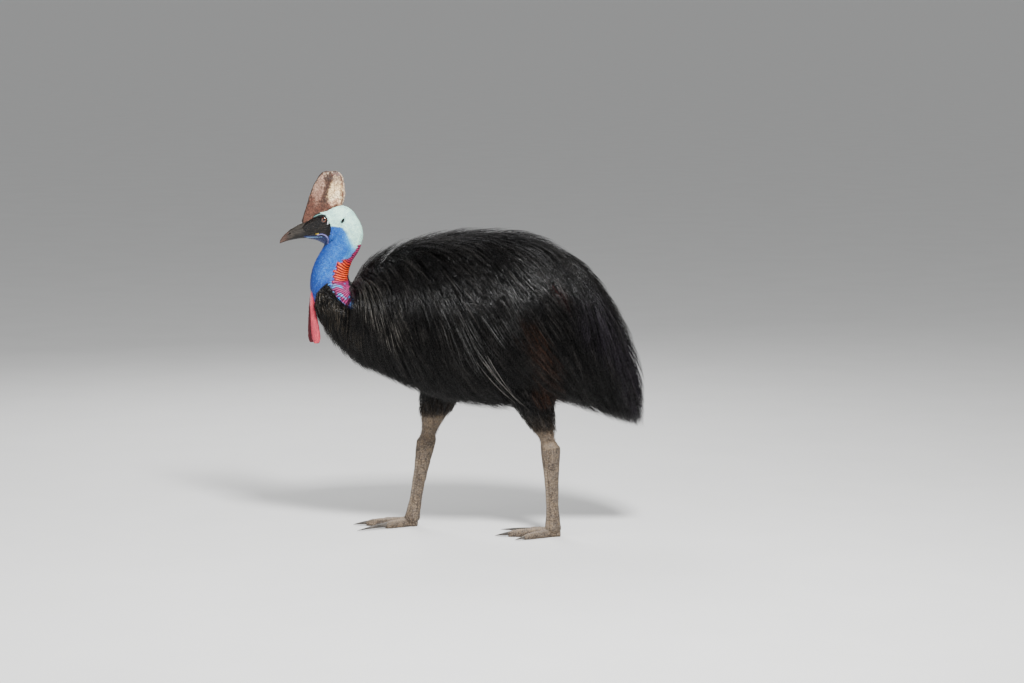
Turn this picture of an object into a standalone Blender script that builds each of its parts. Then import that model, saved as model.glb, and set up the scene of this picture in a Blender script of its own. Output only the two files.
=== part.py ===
"""A southern cassowary standing in mid-stride, life size, facing -X.

Metres, +Z up. The floor is z = 0. The origin lies on it, midway between the
tip of the bill and the tips of the hindmost feathers. The bird's left side is
towards -Y. Every piece of the body is one closed solid, and neighbours keep a
narrow gap.
"""

import math
import random

import bmesh
import bpy
from mathutils import Matrix, Vector
from mathutils.bvhtree import BVHTree

GAP = 0.0003
CUT_GAP = 0.0004
SIDES = {"left": -1.0, "right": 1.0}
SEED = 7

# Sections of the body under the plumage: centre x, centre z, lean of the section towards the
# tail in degrees, half height, half width.
BODY_SECTIONS = [
    (-0.462, 0.846, 46, 0.048, 0.040),
    (-0.432, 0.832, 42, 0.088, 0.066),
    (-0.380, 0.832, 30, 0.134, 0.094),
    (-0.290, 0.815, 20, 0.190, 0.130),
    (-0.160, 0.793, 12, 0.236, 0.163),
    (-0.010, 0.778, 6, 0.263, 0.184),
    (0.130, 0.772, 4, 0.268, 0.192),
    (0.245, 0.765, 2, 0.252, 0.186),
    (0.340, 0.745, 3, 0.222, 0.166),
    (0.420, 0.700, 4, 0.186, 0.138),
    (0.485, 0.640, 4, 0.140, 0.100),
    (0.530, 0.575, 6, 0.085, 0.060),
]
BODY_SAG = 0.16  # how much wider the body is below its middle than above
BODY_RING = 18
TAIL_CUT = ((0.375, 0.0, 0.720), 8)  # a point of the cut, and the cut's lean in degrees

# The bare neck: centre x, centre z, lean of its axis from straight down towards the tail in
# degrees, half depth from throat to nape, half width.
NECK_SECTIONS = [
    (-0.412, 1.078, 0, 0.046, 0.032),
    (-0.424, 1.020, -18, 0.059, 0.035),
    (-0.447, 0.975, -28, 0.055, 0.036),
    (-0.466, 0.933, -14, 0.060, 0.041),
    (-0.473, 0.890, 3, 0.066, 0.047),
    (-0.462, 0.846, 28, 0.074, 0.053),
    (-0.428, 0.808, 55, 0.082, 0.058),
    (-0.385, 0.790, 70, 0.084, 0.060),
]
NECK_CUT_Z = 0.912
SOFT_RING = 10  # points round a section of the head, the neck and the wattles

# The head behind the bill: x, top, bottom, half width.
HEAD_SECTIONS = [
    (-0.566, 1.089, 1.038, 0.0180),
    (-0.545, 1.098, 1.036, 0.0225),
    (-0.515, 1.116, 1.030, 0.0300),
    (-0.485, 1.139, 1.014, 0.0370),
    (-0.452, 1.152, 1.004, 0.0405),
    (-0.418, 1.152, 1.003, 0.0400),
    (-0.388, 1.129, 1.008, 0.0350),
    (-0.366, 1.096, 1.022, 0.0250),
]
EYE_CENTRE = (-0.487, 0.0262, 1.104)
EYE_RADIUS = 0.0118
EAR_CENTRE = (-0.4210, 0.0405, 1.099)
EAR_SIZE = (0.0050, 0.0070, 0.0095)

# The bill: x, mouth line, culmen, keel of the lower half, half width.
BILL_SECTIONS = [
    (-0.6440, 1.0190, 1.0245, 1.0215, 0.0022),
    (-0.6360, 1.0235, 1.0400, 1.0215, 0.0062),
    (-0.6200, 1.0315, 1.0550, 1.0260, 0.0100),
    (-0.6000, 1.0390, 1.0700, 1.0310, 0.0135),
    (-0.5760, 1.0445, 1.0850, 1.0350, 0.0170),
    (-0.5500, 1.0485, 1.0960, 1.0370, 0.0215),
]
BILL_CUT_X = -0.553
NOSTRIL = (-0.6070, 0.0095, 1.0510)
GAPE = [(-0.556, 1.0480), (-0.530, 1.0510), (-0.505, 1.0530), (-0.482, 1.0540)]  # x and z of the mouth's corner
GAPE_DEPTH = 0.0030
GAPE_HEIGHT = 0.0007

# The casque: z, front edge, rear edge, half width.
CASQUE_SECTIONS = [
    (1.080, -0.560, -0.440, 0.0170),
    (1.094, -0.570, -0.428, 0.0205),
    (1.118, -0.562, -0.417, 0.0225),
    (1.150, -0.549, -0.411, 0.0205),
    (1.185, -0.537, -0.409, 0.0165),
    (1.218, -0.523, -0.411, 0.0130),
    (1.245, -0.508, -0.417, 0.0100),
    (1.263, -0.492, -0.427, 0.0070),
    (1.272, -0.474, -0.443, 0.0035),
]
CASQUE_SEAT = ((-0.572, 0.0, 1.084), 22.5)  # a point of the casque's sloping underside, and its slope in degrees

# Each leg: hip, hock and foot.
LEGS = {
    "left": {"hip": (0.186, -0.086, 0.600), "hock": (0.300, -0.102, 0.314), "foot": (0.311, -0.098, 0.0)},
    "right": {"hip": (-0.050, 0.086, 0.600), "hock": (-0.138, 0.102, 0.308), "foot": (-0.195, 0.098, 0.0)},
}
THIGH_GIRTH = [  # share of the way from hip to hock, half depth, half width
    (0.00, 0.086, 0.056),
    (0.34, 0.080, 0.058),
    (0.60, 0.060, 0.049),
    (0.79, 0.040, 0.036),
    (0.91, 0.030, 0.027),
    (1.00, 0.034, 0.030),
]
SHANK_GIRTH = [  # share of the way from hock to foot, half depth, half width
    (0.11, 0.027, 0.023),
    (0.28, 0.0200, 0.0175),
    (0.64, 0.0195, 0.0170),
    (0.81, 0.0240, 0.0230),
    (0.91, 0.0270, 0.0290),
    (0.95, 0.0200, 0.0220),
]
HOCK_CUT = 0.93  # share of the way from hip to hock where the feathered part ends

# Each toe: turn from straight ahead towards the outside in degrees, then sections of distance
# from the foot's centre, half width, height.
TOES = {
    "middle": (2, [(-0.024, 0.014, 0.022), (0.000, 0.0205, 0.032), (0.045, 0.0190, 0.031),
                   (0.095, 0.0165, 0.027), (0.135, 0.0140, 0.023), (0.158, 0.0090, 0.016)]),
    "inner": (-31, [(0.004, 0.015, 0.026), (0.030, 0.0175, 0.028), (0.060, 0.0160, 0.027),
                    (0.085, 0.0140, 0.025), (0.100, 0.0100, 0.020)]),
    "outer": (33, [(0.004, 0.014, 0.024), (0.030, 0.0160, 0.026), (0.070, 0.0140, 0.024),
                   (0.105, 0.0115, 0.020), (0.122, 0.0075, 0.014)]),
}
# Each claw: start along its toe, length, radius at the root, height of its axis at the root.
CLAWS = {
    "middle": (0.140, 0.066, 0.0088, 0.0118),
    "inner": (0.082, 0.134, 0.0098, 0.0138),
    "outer": (0.106, 0.056, 0.0072, 0.0100),
}
CLAW_TIP_HEIGHT = 0.0035
CLAW_SHARES = (0.0, 0.30, 0.60, 0.86, 1.0)  # places along a claw that have a ring of points

# The outside of the coat, one section for each of the body's and a last one at the tip of the tail.
COAT_SECTIONS = [
    (-0.466, 0.848, 46, 0.056, 0.046),
    (-0.440, 0.832, 42, 0.095, 0.072),
    (-0.396, 0.839, 29, 0.158, 0.105),
    (-0.302, 0.820, 20, 0.221, 0.150),
    (-0.170, 0.794, 13, 0.271, 0.190),
    (-0.015, 0.770, 7, 0.304, 0.213),
    (0.130, 0.758, 4, 0.313, 0.222),
    (0.252, 0.748, 2, 0.298, 0.215),
    (0.355, 0.727, 3, 0.265, 0.195),
    (0.437, 0.677, 4, 0.238, 0.165),
    (0.512, 0.611, 4, 0.199, 0.125),
    (0.578, 0.515, 7, 0.126, 0.080),
    (0.610, 0.415, 9, 0.040, 0.030),
]
CORE_TIP = (0.560, 0.510, 8, 0.020, 0.015)  # the core's place beside the last of the coat's sections

# The locks. Places along the body are counted in sections.
LOCK_LENGTHS = [(0.0, 0.085), (1.1, 0.130), (2.4, 0.220), (3.9, 0.270), (8.8, 0.270), (12.0, 0.200)]
LOCK_SLANTS = [(0.0, 45), (2.0, 62), (6.0, 52), (9.0, 40), (11.0, 18), (12.0, 5)]  # degrees down the flank
SLANT_FULL = 1.05        # turn from the ridge, in radians, where a lock first has its full slant
SLANT_ENDS = 2.20        # and where it starts to lose it again, towards the belly
LOCK_SHARES = (0.0, 0.30, 0.66, 1.0)     # places along a lock, root to tip
LOCK_WIDTHS = (0.72, 1.00, 0.74, 0.0)    # its width at each, as a share of the widest
LOCK_DEPTHS = (-0.22, 0.40, 0.82, 1.04)  # its place at each between the core, 0, and the outside of the coat, 1
LOCK_THICK = (0.0060, 0.0056, 0.0042, 0.0)
LOCK_DROOP = 0.10       # how far a lock's edges lie below its ridge, as a share of its half width
LOCK_ROLL = 7           # degrees, lower edge towards the belly
LOCK_STEPS = 9          # steps that trace a lock's line over the body
LOCK_FREE = 0.35        # how much a tip runs straight on, and not round the body
CLEARANCE = 0.0006
NUDGE = 0.01
LOCK_WIDTH = 0.46        # as a share of the length
LOCK_PITCH = 0.94        # between roots side by side, as a share of the width
ROW_PITCH = 0.50         # between rows, as a share of the length
ROW_FIRST = 0.55
ROW_LAST = 11.3
ROW_LEAD = 0.40          # how far down a lock, as a share of its length, the room beside it is measured
FEWEST = 5               # locks in a row
SHORTEST = 0.070         # no lock where there is less room than this before the tail's tip
TIP_SHARE = 0.72         # of that room, the most that a lock takes
CUT_MARGIN = 0.016
BLOCK_MARGIN = 0.010     # no lock of the body has its root nearer than this to a wing, a thigh or the neck
LIFTS = (1.0, 1.2, 1.45, 1.75)
THIGH_ROWS = (0.38, 0.62)
THIGH_LOCKS = (6, 5)
THIGH_LOCK_LENGTH = 0.118
THIGH_LOCK_WIDTH = 0.080
THIGH_LOCK_RISE = 0.011

WING_PATH = [(-0.150, 0.835), (-0.090, 0.795), (-0.020, 0.738), (0.035, 0.685), (0.062, 0.655)]
WING_GIRTH = [(0.014, 0.006), (0.026, 0.010), (0.027, 0.010), (0.020, 0.009), (0.009, 0.006)]
QUILLS = [(0.225, 44, 0.000), (0.250, 48, 0.006), (0.240, 53, 0.010), (0.205, 58, 0.008)]  # length, slope, shift
QUILL_ROOT = 0.004
QUILL_RISES = ((0.16, 0.024), (0.36, 0.044), (0.68, 0.052), (1.0, 0.054))  # share of the length, height
QUILL_RADIUS = 0.0022

LID_RADIUS = 0.0128
LID_THICKNESS = 0.0034
LID_OUT = 0.0335
LID_TOE_IN = 8
NOSTRIL_SIZE = (0.0052, 0.0050, 0.0016)
BILL_RING = 9
CASQUE_RING = 14
CASQUE_KEEL = 0.35  # how much narrower the casque's front half is

UPPER_FOLDS = [0.220, 0.290, 0.360, 0.430]
LOWER_FOLDS = [0.545, 0.605, 0.665, 0.725, 0.785]
FOLD_HALF = 0.019
FOLD_REACH = 62
FOLD_RISE = 0.0052
FOLD_SINK = 0.0035

WATTLE_SECTIONS = [  # z, x, half depth, half width, out from the middle
    (0.866, -0.520, 0.0050, 0.0045, 0.010),
    (0.845, -0.531, 0.0065, 0.0050, 0.012),
    (0.810, -0.533, 0.0085, 0.0060, 0.014),
    (0.765, -0.531, 0.0115, 0.0075, 0.016),
    (0.720, -0.528, 0.0145, 0.0090, 0.018),
    (0.688, -0.526, 0.0145, 0.0090, 0.019),
    (0.670, -0.526, 0.0085, 0.0060, 0.019),
]
WATTLE_SPREAD = 0.009  # how far apart fore and aft the two hang at their tips

LEG_RING = 10
TOE_RING = 8
SHANK_SCUTES = 8
SHANK_SCUTE_FIRST = 0.21
SHANK_SCUTE_PITCH = 0.078
TOE_SCUTE_FIRST = 0.058  # from the foot's centre, past the place where the toes part
TOE_SCUTE_PITCH = 0.022
TOE_SCUTE_MARGIN = 0.006  # left free in front of the claw
SCUTE_RISE = 0.0016
SCUTE_SINK = 0.0020

MATERIAL_OF = [  # start of a node's name, material
    ("neck_upper", "skin_blue"), ("neck_lower", "skin_red"), ("head", "skin_pale"), ("bill", "bill"),
    ("casque", "casque"), ("eye", "eye"), ("wattle", "wattle"), ("shank", "leg_scale"),
    ("toe", "leg_scale"), ("claw", "claw"), ("wing", "quill"), ("", "plumage"),
]
FACETED = ("torso", "tail", "thigh", "wing")
SHARP_ANGLE = 40

COLOURS = {  # red, green, blue, roughness
    "plumage": (0.012, 0.011, 0.011, 0.45),
    "skin_pale": (0.62, 0.80, 0.76, 0.50),
    "skin_blue": (0.10, 0.28, 0.62, 0.50),
    "skin_red": (0.75, 0.14, 0.06, 0.50),
    "wattle": (0.62, 0.10, 0.13, 0.45),
    "bill": (0.020, 0.018, 0.017, 0.35),
    "casque": (0.23, 0.15, 0.11, 0.40),
    "eye": (0.10, 0.03, 0.01, 0.05),
    "leg_scale": (0.20, 0.17, 0.13, 0.60),
    "claw": (0.035, 0.030, 0.026, 0.35),
    "quill": (0.07, 0.06, 0.05, 0.35),
}


def clear_scene():
    for obj in list(bpy.data.objects):
        bpy.data.objects.remove(obj)


def new_collection(name):
    collection = bpy.data.collections.new(name)
    bpy.context.scene.collection.children.link(collection)
    return collection


def make_materials():
    made = {}
    for name, (red, green, blue, roughness) in COLOURS.items():
        material = bpy.data.materials.new(name)
        material.use_nodes = True
        shader = material.node_tree.nodes["Principled BSDF"]
        shader.inputs["Base Color"].default_value = (red, green, blue, 1.0)
        shader.inputs["Roughness"].default_value = roughness
        shader.inputs["Metallic"].default_value = 0.0
        made[name] = material
    return made


def mesh_object(name, bm, collection):
    """Closes bm into an object, its faces pointing out."""
    bmesh.ops.recalc_face_normals(bm, faces=bm.faces)
    mesh = bpy.data.meshes.new(name)
    bm.to_mesh(mesh)
    bm.free()
    obj = bpy.data.objects.new(name, mesh)
    collection.objects.link(obj)
    return obj


def apply_modifiers(obj):
    bpy.context.view_layer.update()
    graph = bpy.context.evaluated_depsgraph_get()
    mesh = bpy.data.meshes.new_from_object(obj.evaluated_get(graph))
    old = obj.data
    obj.modifiers.clear()
    obj.data = mesh
    bpy.data.meshes.remove(old)


def triangulate(obj):
    """Splits every face into triangles, so that a bent face is read in one way only."""
    bm = bmesh.new()
    bm.from_mesh(obj.data)
    bmesh.ops.triangulate(bm, faces=bm.faces)
    bm.to_mesh(obj.data)
    bm.free()


def keep_largest(obj):
    """Keeps the closed surface with the most room inside, and drops loose scraps and sealed hollows."""
    bm = bmesh.new()
    bm.from_mesh(obj.data)
    bm.verts.ensure_lookup_table()
    seen = set()
    groups = []
    for start in bm.verts:
        if start in seen:
            continue
        stack = [start]
        seen.add(start)
        group = []
        while stack:
            vert = stack.pop()
            group.append(vert)
            for edge in vert.link_edges:
                other = edge.other_vert(vert)
                if other not in seen:
                    seen.add(other)
                    stack.append(other)
        groups.append(group)

    def room(group):
        low = [min(vert.co[i] for vert in group) for i in range(3)]
        high = [max(vert.co[i] for vert in group) for i in range(3)]
        return math.prod(b - a for a, b in zip(low, high))

    groups.sort(key=room)
    dropped = [vert for group in groups[:-1] for vert in group]
    bmesh.ops.delete(bm, geom=dropped, context="VERTS")
    bm.to_mesh(obj.data)
    bm.free()
    triangulate(obj)


def discard(obj):
    mesh = obj.data
    bpy.data.objects.remove(obj)
    bpy.data.meshes.remove(mesh)


def copy_of(obj, name):
    twin = bpy.data.objects.new(name, obj.data.copy())
    obj.users_collection[0].objects.link(twin)
    return twin


def swollen(obj, amount):
    """A copy of obj, each point moved out along its normal."""
    twin = copy_of(obj, obj.name + "_cutter")
    moved = [vert.co + vert.normal * amount for vert in twin.data.vertices]
    for vert, place in zip(twin.data.vertices, moved):
        vert.co = place
    return twin


def cut(obj, cutter):
    """Takes the closed mesh object cutter out of obj, and discards it."""
    modifier = obj.modifiers.new("cut", "BOOLEAN")
    modifier.operation = "DIFFERENCE"
    modifier.object = cutter
    modifier.solver = "MANIFOLD"  # EXACT leaves open edges on the toes
    apply_modifiers(obj)
    discard(cutter)
    keep_largest(obj)


def cut_clear(obj, *others):
    """Trims obj so that it meets the others face to face, with a narrow gap."""
    for other in others:
        cut(obj, swollen(other, CUT_GAP))


def unite(obj, pieces):
    """Fuses the closed pieces into obj, in one union on a collection of them."""
    gathered = new_collection("pieces")
    for piece in pieces:
        for collection in list(piece.users_collection):
            collection.objects.unlink(piece)
        gathered.objects.link(piece)
    modifier = obj.modifiers.new("unite", "BOOLEAN")
    modifier.operation = "UNION"
    modifier.operand_type = "COLLECTION"
    modifier.collection = gathered
    modifier.solver = "MANIFOLD"
    apply_modifiers(obj)
    for piece in pieces:
        discard(piece)
    bpy.data.collections.remove(gathered)
    keep_largest(obj)


def ring(centre, up, side, half_up, half_side, count, sag=0.0):
    """Points round an oval, from its top towards side. sag widens its lower half."""
    points = []
    for i in range(count):
        turn = 2 * math.pi * i / count
        rise, reach = math.cos(turn), math.sin(turn)
        points.append(centre + up * (half_up * rise) + side * (half_side * reach * (1 - sag * rise)))
    return points


def loft(name, rings, collection, levels=0):
    """A closed skin through the rings, with a flat face on each end, smoothed by Subdivision Surface."""
    bm = bmesh.new()
    rows = [[bm.verts.new(point) for point in points] for points in rings]
    for low, high in zip(rows, rows[1:]):
        for i in range(len(low)):
            j = (i + 1) % len(low)
            bm.faces.new((low[i], low[j], high[j], high[i]))
    bm.faces.new(rows[0])
    bm.faces.new(rows[-1])
    obj = mesh_object(name, bm, collection)
    if levels:
        modifier = obj.modifiers.new("smooth", "SUBSURF")
        modifier.levels = levels
        modifier.render_levels = levels
        apply_modifiers(obj)
    triangulate(obj)
    return obj


def cage_growth(count):
    """What Subdivision Surface takes from the radius of a ring of count points."""
    return 3 / (2 + math.cos(2 * math.pi / count))


def tree_of(*objects):
    """A search tree over the faces of the objects."""
    verts, faces = [], []
    for obj in objects:
        start = len(verts)
        verts += [vert.co.copy() for vert in obj.data.vertices]
        faces += [[start + i for i in face.vertices] for face in obj.data.polygons]
    return BVHTree.FromPolygons(verts, faces)


def sliced(obj, name, point, normal):
    """The part of obj on the far side of a plane from normal, closed with a flat face."""
    twin = copy_of(obj, name)
    bm = bmesh.new()
    bm.from_mesh(twin.data)
    geometry = bm.verts[:] + bm.edges[:] + bm.faces[:]
    found = bmesh.ops.bisect_plane(bm, geom=geometry, plane_co=point, plane_no=normal, clear_outer=True)
    rim = [item for item in found["geom_cut"] if isinstance(item, bmesh.types.BMEdge)]
    bmesh.ops.edgeloop_fill(bm, edges=rim)
    bmesh.ops.triangulate(bm, faces=bm.faces)
    bmesh.ops.recalc_face_normals(bm, faces=bm.faces)
    bm.to_mesh(twin.data)
    bm.free()
    return twin


def parted(obj, names, point, normal):
    """Splits obj by a thin cut. The first name goes to the side that normal leaves."""
    normal = Vector(normal).normalized()
    point = Vector(point)
    before = sliced(obj, names[0], point - normal * GAP / 2, normal)
    after = sliced(obj, names[1], point + normal * GAP / 2, -normal)
    discard(obj)
    return before, after


def patch(name, tree, rows, sink, collection):
    """A raised patch on the surface in tree. rows hold (start, direction, rise): a ray from start
    finds the surface, and the patch stands rise above it and sink below."""
    bm = bmesh.new()
    tops, roots = [], []
    for row in rows:
        hits = [tree.ray_cast(start, direction)[0] for start, direction, _ in row]
        tops.append([bm.verts.new(hit + d * rise) for hit, (_, d, rise) in zip(hits, row)])
        roots.append([bm.verts.new(hit - d * sink) for hit, (_, d, _) in zip(hits, row)])
    last_row, last = len(rows) - 1, len(rows[0]) - 1
    for i in range(last_row):
        for j in range(last):
            for grid in (tops, roots):
                bm.faces.new((grid[i][j], grid[i][j + 1], grid[i + 1][j + 1]))
                bm.faces.new((grid[i][j], grid[i + 1][j + 1], grid[i + 1][j]))
    border = [(0, j) for j in range(last)] + [(i, last) for i in range(last_row)]
    border += [(last_row, j) for j in range(last, 0, -1)] + [(i, 0) for i in range(last_row, 0, -1)]
    for (i, j), (k, m) in zip(border, border[1:] + border[:1]):
        bm.faces.new((tops[i][j], tops[k][m], roots[k][m], roots[i][j]))
    return mesh_object(name, bm, collection)


# Body and tail

def body_point(section, turn):
    """A point of the body's section, turn 0 at the back's ridge and growing towards -Y."""
    x, z, lean, half_height, half_width = section
    up = Vector((math.sin(math.radians(lean)), 0, math.cos(math.radians(lean))))
    rise, reach = math.cos(turn), math.sin(turn)
    side = Vector((0, -1, 0)) * half_width * reach * (1 - BODY_SAG * rise)
    return Vector((x, 0, z)) + up * half_height * rise + side


def build_body_core(collection):
    rings = []
    for x, z, lean, half_height, half_width in BODY_SECTIONS:
        up = Vector((math.sin(math.radians(lean)), 0, math.cos(math.radians(lean))))
        rings.append(ring(Vector((x, 0, z)), up, Vector((0, 1, 0)), half_height, half_width, BODY_RING, BODY_SAG))
    return loft("body_core", rings, collection)


def lean_normal(lean):
    return Vector((math.cos(math.radians(lean)), 0, -math.sin(math.radians(lean))))


# The coat

def section_at(sections, along):
    """The section at a place along the body, counted in sections."""
    low = max(0, min(int(along), len(sections) - 2))
    part = along - low
    return [a + (b - a) * part for a, b in zip(sections[low], sections[low + 1])]


def coat_place(along, turn, depth):
    """A point between the body's core, depth 0, and the outside of its coat, depth 1."""
    inner = body_point(section_at(BODY_SECTIONS + [CORE_TIP], along), turn)
    outer = body_point(section_at(COAT_SECTIONS, along), turn)
    return inner.lerp(outer, depth)


def smooth_step(low, high, value):
    share = min(1.0, max(0.0, (value - low) / (high - low)))
    return share * share * (3 - 2 * share)


def coat_step(along, turn, depth):
    """Steps over the coat per unit of along and of turn, the coat's lie and its outward normal."""
    step_along = (coat_place(along + NUDGE, turn, depth) - coat_place(along - NUDGE, turn, depth)) / (2 * NUDGE)
    step_turn = (coat_place(along, turn + NUDGE, depth) - coat_place(along, turn - NUDGE, depth)) / (2 * NUDGE)
    back = step_along.normalized()
    down = (step_turn - back * step_turn.dot(back)).normalized() * sign(turn)
    around = abs(turn)
    full = smooth_step(0.0, SLANT_FULL, around) * (1 - smooth_step(SLANT_ENDS, math.pi, around))
    slant = math.radians(read_table(LOCK_SLANTS, along)) * full
    lie = back * math.cos(slant) + down * math.sin(slant)
    normal = back.cross(down).normalized()
    if normal.dot(coat_place(along, turn, 1.0) - coat_place(along, turn, 0.0)) < 0:
        normal = -normal
    return step_along, step_turn, lie, normal


def lock_path(along, turn, length, lift):
    """Points and normals of a lock that follows the coat's lie from its root."""
    points, normals = [], []
    step = length / LOCK_STEPS
    marks = [round(share * LOCK_STEPS) for share in LOCK_SHARES]
    for i in range(LOCK_STEPS + 1):
        share = min(1.0, i / LOCK_STEPS)
        depth = read_table(list(zip(LOCK_SHARES, LOCK_DEPTHS)), share)
        step_along, step_turn, lie, normal = coat_step(along, turn, max(0.0, depth))
        if i in marks:
            points.append(coat_place(along, turn, depth * lift if depth > 0 else depth))
            normals.append(normal)
        a, b, c = step_along.dot(step_along), step_along.dot(step_turn), step_turn.dot(step_turn)
        p, q = lie.dot(step_along), lie.dot(step_turn)
        along += (p * c - q * b) / (a * c - b * b) * step
        turn += (q * a - p * b) / (a * c - b * b) * step
    straight = points[-2] + (points[-2] - points[-3]).normalized() * (points[-1] - points[-2]).length
    points[-1] = points[-1].lerp(straight, LOCK_FREE)
    return points, normals


def lock_corners(points, normals, width, roll, extra=0.0):
    """The rings of three corners along a lock, and its tip. extra makes it fatter all over."""
    rings = []
    for i in range(len(points) - 1):
        along = (points[i + 1] - points[max(0, i - 1)]).normalized()
        side = along.cross(normals[i]).normalized()
        side = Matrix.Rotation(roll, 3, along) @ side
        up = side.cross(along).normalized()
        half = width * LOCK_WIDTHS[i] / 2 + extra
        low = points[i] - up * (half * LOCK_DROOP + extra)
        rings.append((low - side * half, points[i] + up * (LOCK_THICK[i] + extra), low + side * half))
    return rings, points[-1]


def lock_faces(rings, tip):
    """Vertices and triangles of a closed lock."""
    verts = [corner for corners in rings for corner in corners] + [tip]
    faces = [(0, 2, 1)]
    for i in range(len(rings) - 1):
        base = 3 * i
        for a, b in ((0, 1), (1, 2), (2, 0)):
            faces.append((base + a, base + b, base + 3 + b))
            faces.append((base + a, base + 3 + b, base + 3 + a))
    base = 3 * (len(rings) - 1)
    end = len(verts) - 1
    faces += [(base, base + 1, end), (base + 1, base + 2, end), (base + 2, base, end)]
    return verts, faces


class Coat:
    """Collects the locks of each node, each one clear of every other node."""

    def __init__(self, collection):
        self.collection = collection
        self.locks = {}
        self.solids = {}

    def add_solid(self, node, obj):
        self.solids.setdefault(node, []).append((box_of(obj), tree_of(obj)))

    def crosses(self, node, rings, tip):
        verts, faces = lock_faces(rings, tip)
        tree = BVHTree.FromPolygons(verts, faces)
        low = [min(v[i] for v in verts) for i in range(3)]
        high = [max(v[i] for v in verts) for i in range(3)]
        for owner, solids in self.solids.items():
            if owner == node:
                continue
            for (other_low, other_high), other in solids:
                apart = any(low[i] > other_high[i] or high[i] < other_low[i] for i in range(3))
                if not apart and tree.overlap(other):
                    return True
        return False

    def grow(self, node, path_of, width, side):
        """One lock. It is lifted over what it would cross, or left out."""
        roll = math.radians(LOCK_ROLL) * side
        for lift in LIFTS:
            points, normals = path_of(lift)
            rings, tip = lock_corners(points, normals, width, roll, CLEARANCE)
            if not self.crosses(node, rings, tip):
                verts, faces = lock_faces(*lock_corners(points, normals, width, roll))
                bm = bmesh.new()
                made = [bm.verts.new(vert) for vert in verts]
                for face in faces:
                    bm.faces.new([made[i] for i in face])
                obj = mesh_object("lock", bm, self.collection)
                self.locks.setdefault(node, []).append(obj)
                self.add_solid(node, obj)
                return


def box_of(obj):
    places = [vert.co for vert in obj.data.vertices]
    low = [min(place[i] for place in places) for i in range(3)]
    high = [max(place[i] for place in places) for i in range(3)]
    return low, high


def girth(section):
    half_height, half_width = section[3], section[4]
    return 2 * math.pi * math.sqrt((half_height ** 2 + half_width ** 2) / 2)


def read_table(table, place):
    """The value at a place in a table of (place, value), on the straight line between its entries."""
    for (low, before), (high, after) in zip(table, table[1:]):
        if place <= high:
            return before + (after - before) * (place - low) / (high - low)
    return table[-1][1]


def body_roots(rng):
    """Roots of the coat's locks in staggered rows round the body, as (along, turn, length, width)."""
    roots = []
    along, row = ROW_FIRST, 0
    while along < ROW_LAST:
        length = read_table(LOCK_LENGTHS, along)
        width = length * LOCK_WIDTH
        before, after = (section_at(COAT_SECTIONS, along + step) for step in (-0.5, 0.5))
        spacing = math.hypot(after[0] - before[0], after[1] - before[1])
        lead = min(along + length * ROW_LEAD / spacing, len(COAT_SECTIONS) - 1)
        count = max(FEWEST, round(girth(section_at(COAT_SECTIONS, lead)) / (width * LOCK_PITCH)))
        for i in range(count):
            turn = 2 * math.pi * (i + 0.5 * (row % 2) + rng.uniform(-0.12, 0.12)) / count
            turn = (turn + math.pi) % (2 * math.pi) - math.pi
            room = (coat_place(len(COAT_SECTIONS) - 1, turn, 1.0) - coat_place(along, turn, 0.5)).length
            if room > SHORTEST:
                roots.append((along, turn, min(length * rng.uniform(0.88, 1.12), room * TIP_SHARE), width))
        along += length * ROW_PITCH / spacing
        row += 1
    return roots


def off_the_cut(along, turn):
    """The node whose core holds this place of the body, and the place moved off the cut beside it."""
    normal = lean_normal(TAIL_CUT[1])
    away = (coat_place(along, turn, 0.0) - Vector(TAIL_CUT[0])).dot(normal)
    node = "torso" if away < 0 else "tail"
    if abs(away) < CUT_MARGIN:
        step_along = coat_step(along, turn, 0.0)[0]
        along += (sign(away) * CUT_MARGIN - away) / step_along.dot(normal)
    return node, along


def cover_body(coat, blocked, rng):
    """Grows the locks of the tail first and then those of the torso, which lie over them."""
    found = {"tail": [], "torso": []}
    for along, turn, length, width in body_roots(rng):
        node, along = off_the_cut(along, turn)
        place = coat_place(along, turn, 0.0)
        if all(other.find_nearest(place)[3] > BLOCK_MARGIN for other in blocked):
            found[node].append((place.z, along, turn, length, width))
    for node, roots in found.items():
        for _, along, turn, length, width in sorted(roots):
            coat.grow(node, lambda lift: lock_path(along, turn, length, lift), width, -sign(turn))


def sign(value):
    return -1.0 if value < 0 else 1.0


# Wings

def flank_point(tree, x, z, side):
    """Where a line across the body at x and z meets its flank, with the normal there."""
    place, normal, _, _ = tree.ray_cast(Vector((x, side, z)), Vector((0, -side, 0)))
    return place, normal


def build_wing(side_name, tree, torso, collection):
    """The small wing that lies along the flank, flat against it."""
    side = SIDES[side_name]
    places = [flank_point(tree, x, z, side) for x, z in WING_PATH]
    rings = []
    for i, ((place, normal), (half_wide, half_thick)) in enumerate(zip(places, WING_GIRTH)):
        before = places[max(0, i - 1)][0]
        after = places[min(len(places) - 1, i + 1)][0]
        along = (after - before).normalized()
        across = along.cross(normal).normalized()
        rings.append(ring(place + normal * half_thick * 0.2, normal, across, half_thick, half_wide, 8))
    wing = loft("wing_" + side_name, rings, collection)
    cut_clear(wing, torso)
    return wing


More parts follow.
